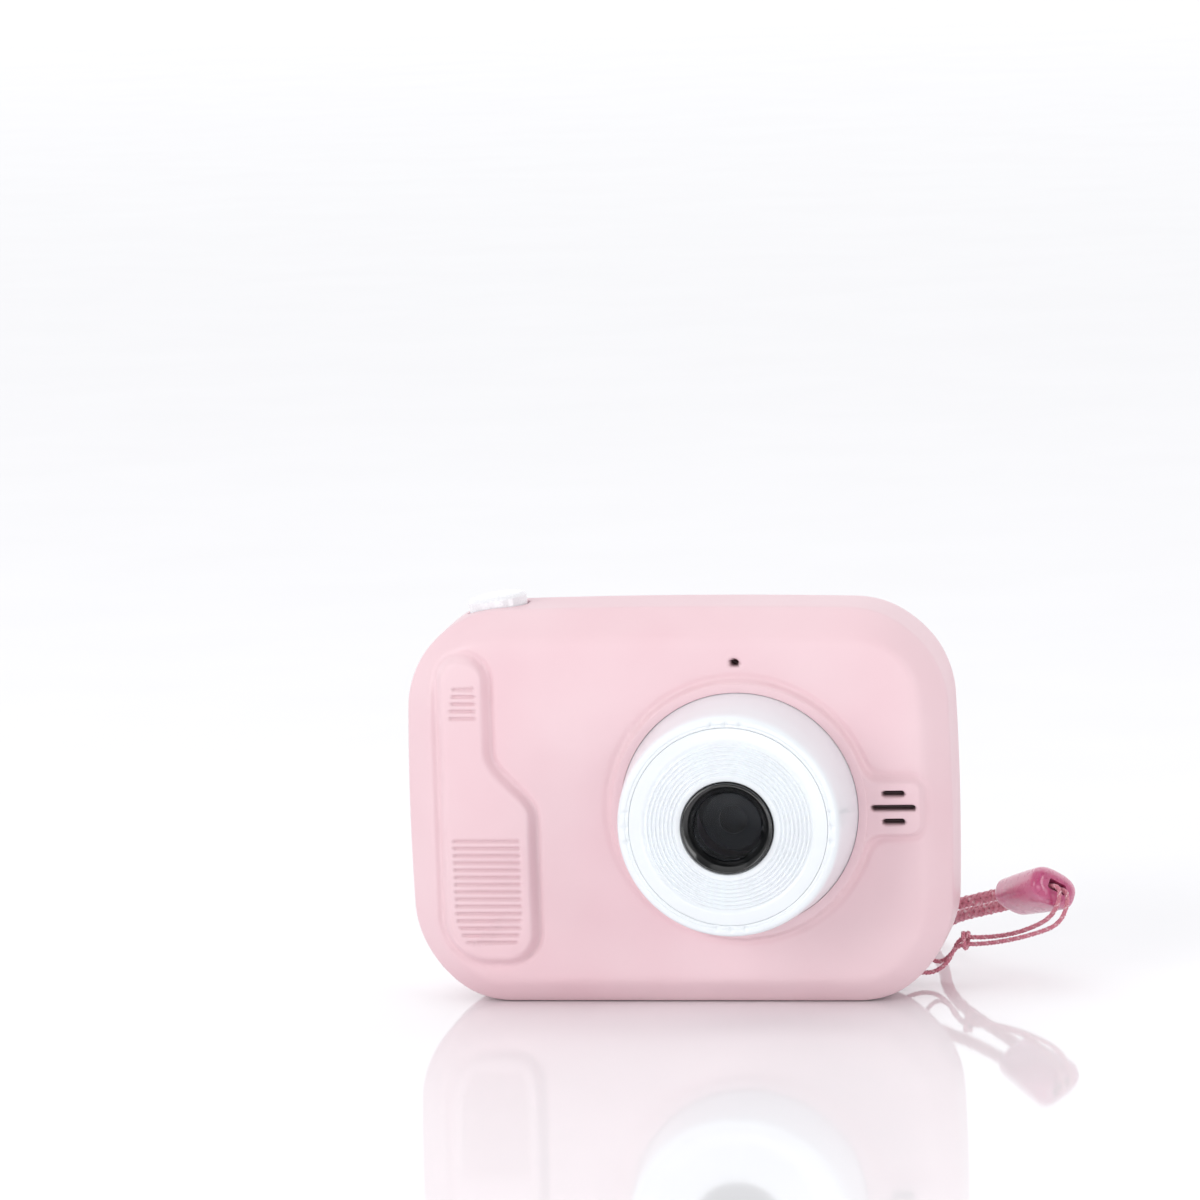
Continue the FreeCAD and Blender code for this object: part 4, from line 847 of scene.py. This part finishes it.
def rear_shell():
    """One wrapped grid for the rear shell, from its seam's lip to the back."""
    across = spaced((-half_width - 1.4, -half_width + 8.6, 0.25), (-half_width + 8.6, -12.0, 0.3),
                    (-12.0, 29.0, 0.6), (29.0, half_width - 8.0, 0.3),
                    (half_width - 8.0, half_width + 1.4, 0.2))
    upward = spaced((-half_height - 1.4, -half_height + 8.0, 0.2),
                    (-half_height + 8.0, half_height - 8.0, 0.3),
                    (half_height - 8.0, half_height + 1.4, 0.25))
    b, a = np.meshgrid(upward, across, indexing="ij")
    slope = (rear_y - seam_y) / rear_bevel

    seam_round, back_round = 0.2, 1.6

    def step_in(along):
        """Inwards over the back, and at the seam's lip."""
        return soft_ramp(along, seam_round) + soft_ramp(-along, seam_round) - 0.1

    x, z, along = wrap_case(a, b, step_in)
    rise = soft_ramp(along, seam_round) - soft_ramp(along - rear_bevel, back_round)
    y = seam_y + 0.05 + slope * rise - 0.17
    x, z = crown_sides(x, z)
    depth, hollow = rear_heights(x, z)
    y = y - depth * (along > 1.0)
    x, z, cut = cut_strap_notch(x, y, z)
    points = np.stack([x, y, z + half_height], axis=-1)
    print("rear shell grid", points.shape[:2])
    # painted shade in the key holes, the screw wells and the strap notch
    hollow = np.clip(hollow * (along > 1.0) + 0.15 * cut, 0, 1)
    return grid_surface("rear_shell", points, finishes["pink_shell"], values={"hollow": hollow})


back_shell = rear_shell()
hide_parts("rear_cover")
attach(back_shell, "root")

# %% [markdown]
# ## Cords
#
# Each cord is one smooth NURBS line controlled by the same route as its mechanical solid.  The strands of the
# braid are then carried along points read from that line: each strand is a small tube that circles the line,
# and in a braid half of them turn one way and half the other, passing over and under by turns.

# %% Clasp place and cord routes, in millimetres
CLASP_CENTRE = np.array([51.3, 8.15, 13.7])
CLASP_ANGLES = [math.radians(v) for v in (-46.0, -16.0, -32.0)]


def clasp_turn():
    """Rotation of the clasp: about Z, then about Y, then about its own length."""
    turn, rise, roll = CLASP_ANGLES
    matrix = Matrix.Rotation(turn, 3, "Z") @ Matrix.Rotation(rise, 3, "Y") @ Matrix.Rotation(roll, 3, "X")
    return np.array(matrix)


def on_clasp(x, y, z):
    """A place given along, across and through the clasp, as a place in the model."""
    return tuple(CLASP_CENTRE + clasp_turn() @ np.array([x, y, z]))


TIE_ROUTE = [
    on_clasp(4.0, 0.6, 0), on_clasp(7.4, 0.6, 0),
    (57.0, 2.2, 12.9), (55.4, 3.5, 9.6), (51.6, 5.2, 7.9), (47.6, 6.3, 6.7), (43.6, 7.0, 6.0),
    (39.4, 7.3, 5.9), (38.2, 7.4, 2.9), (35.4, 7.4, 1.2), (31.4, 7.5, 2.2), (29.2, 7.8, 4.7),
    (29.6, 8.1, 8.0), (32.9, 8.3, 8.0), (34.5, 8.4, 4.4), (36.6, 8.45, 2.6), (38.9, 8.5, 4.2),
    (39.9, 8.5, 6.8), (44.0, 8.2, 6.75), (48.0, 7.5, 7.4), (51.4, 6.0, 8.8), (54.2, 3.6, 10.7),
    (55.8, 1.5, 13.6), on_clasp(7.4, -0.75, 0), on_clasp(4.0, -0.75, 0)]
CORD_ROUTE = [
    on_clasp(-3.0, -1.6, 0), on_clasp(-10.5, -1.6, 0),
    (33.6, 17.6, 8.8), (24.5, 19.6, 3.6), (14.0, 19.4, 1.1), (2.0, 17.6, 1.05), (-10.0, 17.0, 1.05),
    (-22.0, 18.4, 1.05), (-31.5, 22.6, 1.05), (-37.0, 31.0, 1.05), (-35.6, 41.5, 1.05),
    (-28.0, 49.5, 1.05), (-16.5, 53.0, 1.05), (-4.0, 53.4, 1.05), (8.5, 51.0, 1.05),
    (20.0, 49.0, 1.05), (29.5, 43.5, 1.05), (34.6, 34.5, 1.9), (36.2, 25.6, 6.2),
    on_clasp(-10.5, 1.6, 0), on_clasp(-3.0, 1.6, 0)]


# %% Smooth line and strands


def smooth_line(name, route, step):
    """Points every step millimetres along the NURBS line that the route controls."""
    curve = bpy.data.curves.new(name, "CURVE")
    curve.dimensions = "3D"
    spline = curve.splines.new("NURBS")
    spline.points.add(len(route) - 1)
    for point, place in zip(spline.points, route):
        point.co = (*[v * MM for v in place], 1.0)
    spline.order_u = 3
    spline.use_endpoint_u = True
    spline.resolution_u = 24
    holder = bpy.data.objects.new(name, curve)
    mesh = bpy.data.meshes.new_from_object(holder)
    flat = np.empty(len(mesh.vertices) * 3)
    mesh.vertices.foreach_get("co", flat)
    dots = flat.reshape(-1, 3) / MM
    bpy.data.objects.remove(holder)
    bpy.data.meshes.remove(mesh)
    gaps = np.linalg.norm(np.diff(dots, axis=0), axis=1)
    travelled = np.concatenate([[0], np.cumsum(gaps)])
    length = travelled[-1]
    wanted = np.linspace(0, length, int(length / step) + 1)
    line = np.stack([np.interp(wanted, travelled, dots[:, k]) for k in range(3)], axis=-1)
    return line, wanted, length


def strands(line, travelled, steady, count, pitch, orbit, weave, thickness, sides=6):
    """Strand tubes round a line: each strand's centre circles the line, its section is a small circle.

    The angle is 2 pi times the length travelled over the pitch, one way for half of the strands and the other
    way for the rest; the orbit swells and shrinks by weave, so the two sets pass over and under.
    """
    tangent = np.gradient(line, axis=0)
    tangent /= np.linalg.norm(tangent, axis=1, keepdims=True)
    side = np.cross(np.broadcast_to(steady, tangent.shape), tangent)
    side /= np.linalg.norm(side, axis=1, keepdims=True)
    up = np.cross(tangent, side)
    rings, tones, lengths = [], [], []
    phase = 2 * math.pi * travelled / pitch
    for way in (1, -1):
        for k in range(count):
            angle = way * phase + 2 * math.pi * k / count
            radius = orbit + way * weave * np.cos(count * phase + math.pi * k)
            out = side * np.cos(angle)[:, None] + up * np.sin(angle)[:, None]
            centre = line + out * radius[:, None]
            run = np.gradient(centre, axis=0)
            run /= np.linalg.norm(run, axis=1, keepdims=True)
            across = np.cross(run, out)
            turn = np.linspace(0, 2 * math.pi, sides, endpoint=False)
            section = (np.cos(turn)[None, :, None] * across[:, None, :]
                       + np.sin(turn)[None, :, None] * out[:, None, :])
            ring = centre[:, None, :] + thickness * section
            pale = k == 1 and way > 0
            rings.append(ring)
            tones.append(np.full(ring.shape[:2], 0.85 if pale else 0.25 + 0.2 * (k % 2)))
            lengths.append(np.broadcast_to(travelled[:, None], ring.shape[:2]))
    return rings, tones, lengths


def cord_mesh(name, line, travelled, finish, **braid):
    """Join every strand's grid into one mesh, with a length-wise UV map and a tone for each strand."""
    rings, tones, lengths = strands(line, travelled, **braid)
    pieces = []
    for k, (ring, tone, run) in enumerate(zip(rings, tones, lengths)):
        around = np.linspace(0, 1, ring.shape[1])[None, :].repeat(len(ring), axis=0)
        flat = np.stack([run, around + k], axis=-1)
        pieces.append(grid_surface(f"{name}_{k}", ring, finish, close_columns=True, values={"tone": tone},
                                   uv=flat, flip=True))
    return join(name, pieces)


def join(name, pieces):
    """Make several grid pieces one object."""
    with bpy.context.temp_override(active_object=pieces[0], selected_editable_objects=pieces,
                                   selected_objects=pieces):
        bpy.ops.object.join()
    pieces[0].name = name
    pieces[0].data.name = name
    return pieces[0]


# %% Wrist cord and tie cord
THICK_BRAID = {"count": 4, "pitch": 5.0, "orbit": 0.62, "weave": 0.08, "thickness": 0.32}
THIN_BRAID = {"count": 3, "pitch": 1.7, "orbit": 0.22, "weave": 0.035, "thickness": 0.15, "sides": 5}
wrist_line, wrist_run, wrist_length = smooth_line("wrist_line", CORD_ROUTE, 0.5)
wrist = cord_mesh("wrist_braid", wrist_line, wrist_run, finishes["pink_cord"], steady=(0.0, 0.0, 1.0),
                  **THICK_BRAID)
tie_line, tie_run, tie_length = smooth_line("tie_line", TIE_ROUTE, 0.22)
tie = cord_mesh("tie_braid", tie_line, tie_run, finishes["pink_cord"], steady=(0.0, 1.0, 0.0), **THIN_BRAID)
print("wrist cord", round(wrist_length, 1), "mm, tie cord", round(tie_length, 1), "mm")

# %% [markdown]
# ## Hitch and clasp
#
# The hitch is the tie loop's own cord wound round its two legs.  The clasp is a moulded block: a superellipse
# section carried along its length and drawn in at the ends, with the slot sunk into its right end.

# %% Hitch


def hitch_coil():
    """Nearly one and a half turns of the tie cord round the legs, as an oval helix with the same braid."""
    centre = np.array([40.9, 7.9, 6.35])
    turn_count, deep, tall = 1.4, 1.35, 1.1
    turns = np.linspace(0, 2 * math.pi * turn_count, 110)
    drift = np.linspace(-0.5, 0.5, len(turns))
    line = np.stack([centre[0] + drift, centre[1] + deep * np.cos(turns), centre[2] + tall * np.sin(turns)],
                    axis=-1)
    gaps = np.linalg.norm(np.diff(line, axis=0), axis=1)
    run = np.concatenate([[0], np.cumsum(gaps)])
    return cord_mesh("hitch_wrap", line, run, finishes["pink_cord"], steady=(1.0, 0.0, 0.0), **THIN_BRAID)


hitch = hitch_coil()

# %% Clasp


def clasp_body():
    """Superellipse sections along the clasp; the ends close on the axis and the slot is pushed in."""
    half_length, half_wide, half_thick = 6.0, 4.1, 2.7
    count, ease = 144, 1.5
    angle = np.linspace(0, 2 * math.pi, count, endpoint=False)
    power = 2 / 2.7
    outline = np.stack([np.sign(np.cos(angle)) * np.abs(np.cos(angle)) ** power * half_wide,
                        np.sign(np.sin(angle)) * np.abs(np.sin(angle)) ** power * half_thick], axis=-1)
    bend = np.linspace(0, math.pi / 2, 10)
    body = np.linspace(-half_length + ease, half_length - ease, 40)
    cap = np.linspace(0, 1, 60)[1:-1]
    along = np.concatenate([np.full(len(cap), -half_length), -half_length + ease - ease * np.cos(bend),
                            body[1:-1], half_length - ease + ease * np.sin(bend),
                            np.full(len(cap), half_length)])
    inset = np.concatenate([np.zeros(len(cap)), ease * (1 - np.sin(bend)), np.zeros(len(body) - 2),
                            ease * (1 - np.cos(bend)), np.zeros(len(cap))])
    shrink = np.concatenate([cap, np.ones(20 + len(body) - 2), cap[::-1]])
    end_scale = (np.array([half_wide, half_thick]) - ease) / np.array([half_wide, half_thick])
    size = 1 - inset[:, None] / np.array([half_wide, half_thick])
    ends = np.abs(along) >= half_length - 1e-9
    size = np.where(ends[:, None] & (shrink[:, None] < 1), end_scale * shrink[:, None], size)
    waist = 1 - 0.16 * smooth_step(0.35 - along / (2 * half_length))
    local = np.stack([np.repeat(along[:, None], count, axis=1),
                      outline[None, :, 0] * (size[:, 0] * waist)[:, None],
                      outline[None, :, 1] * (size[:, 1] * waist)[:, None]], axis=-1)
    slot = box_distance(local[..., 1], local[..., 2], (0, 0), (3.1, 1.4), 0.2)
    sunk = smooth_step(0.5 - slot / 0.15) * (local[..., 0] > half_length - 0.2)
    local[..., 0] -= 2.2 * sunk
    world = local @ clasp_turn().T + CLASP_CENTRE
    # the slot's inside carries painted shade
    return grid_surface("clasp_block", world, finishes["clasp_gloss"], close_columns=True,
                        values={"hollow": 0.8 * sunk})


clasp = clasp_body()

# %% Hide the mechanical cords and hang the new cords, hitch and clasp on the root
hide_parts("wrist_cord")
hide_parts("tie_cord")
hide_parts("tie_hitch")
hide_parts("cord_clasp")
for piece in (wrist, tie, hitch):
    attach(piece, "root")
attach(clasp, "root")

# %% [markdown]
# ## Floor and light
#
# The floor is a pale, slightly glossy sheet that mirrors the camera softly.  A broad light overhead, a large
# one to the left, two small ones low down and a white surround give the soft, shadow-poor light of a product
# table.

# %% Floor


def glossy_sheet():
    """White acrylic sheet: pale, with a soft mirror image."""
    material, tree, shader = new_finish("white_acrylic_sheet", Specular_IOR_Level=0.5, Coat_Weight=0.0)
    tint(tree, shader, noise_field(tree, 0.02), (0.3, "#F4F4F6"), (0.7, "#F7F7F9"))
    shader.inputs["Roughness"].default_value = 0.05
    return material


reach = np.linspace(-3000, 3000, 13)
deep, wide = np.meshgrid(reach, reach, indexing="ij")
sheet = np.stack([wide, deep, np.full_like(wide, -0.02)], axis=-1)
floor = grid_surface("floor", sheet, glossy_sheet(), flip=True)

# %% Lights


def soft_box(name, place, target, size, power):
    """A rectangular area light that faces its target; size and places in metres."""
    data = bpy.data.lights.new(name, "AREA")
    data.shape = "RECTANGLE"
    data.size, data.size_y = size
    data.energy = power
    light = bpy.data.objects.new(name, data)
    direction = Vector(target) - Vector(place)
    light.rotation_euler = direction.to_track_quat("-Z", "Y").to_euler()
    light.location = place
    bpy.context.scene.collection.objects.link(light)


soft_box("overhead", (-0.15, -0.10, 0.75), (0, 0, 0.03), (0.9, 0.7), 1.1)
soft_box("left_front", (-0.78, -0.80, 0.46), (0, 0, 0.03), (0.8, 0.7), 7.0)
soft_box("right_low", (0.75, -0.45, 0.30), (0, 0, 0.03), (0.35, 0.6), 2.3)
soft_box("front_low", (0.20, -1.10, 0.10), (0, 0, 0.02), (0.9, 0.15), 1.9)


def white_surround():
    """White behind the camera body and grey on the viewer's side, so that dark gloss stays dark."""
    world = bpy.data.worlds.new("white_surround")
    world.use_nodes = True
    tree = world.node_tree
    toward = add_node(tree, "TexCoord").outputs["Generated"]
    depth = add_node(tree, "SeparateXYZ", inputs={"Vector": toward}).outputs["Y"]
    level = add_node(tree, "MapRange", inputs={"Value": depth, "From Min": -0.25, "From Max": 0.45,
                                               "To Min": 0.33, "To Max": 1.2})
    tree.links.new(level.outputs["Result"], tree.nodes["Background"].inputs["Strength"])
    tree.nodes["Background"].inputs["Color"].default_value = linear("#FBFBFD")
    return world


bpy.context.scene.world = white_surround()
bpy.context.scene.view_settings.view_transform = "Standard"
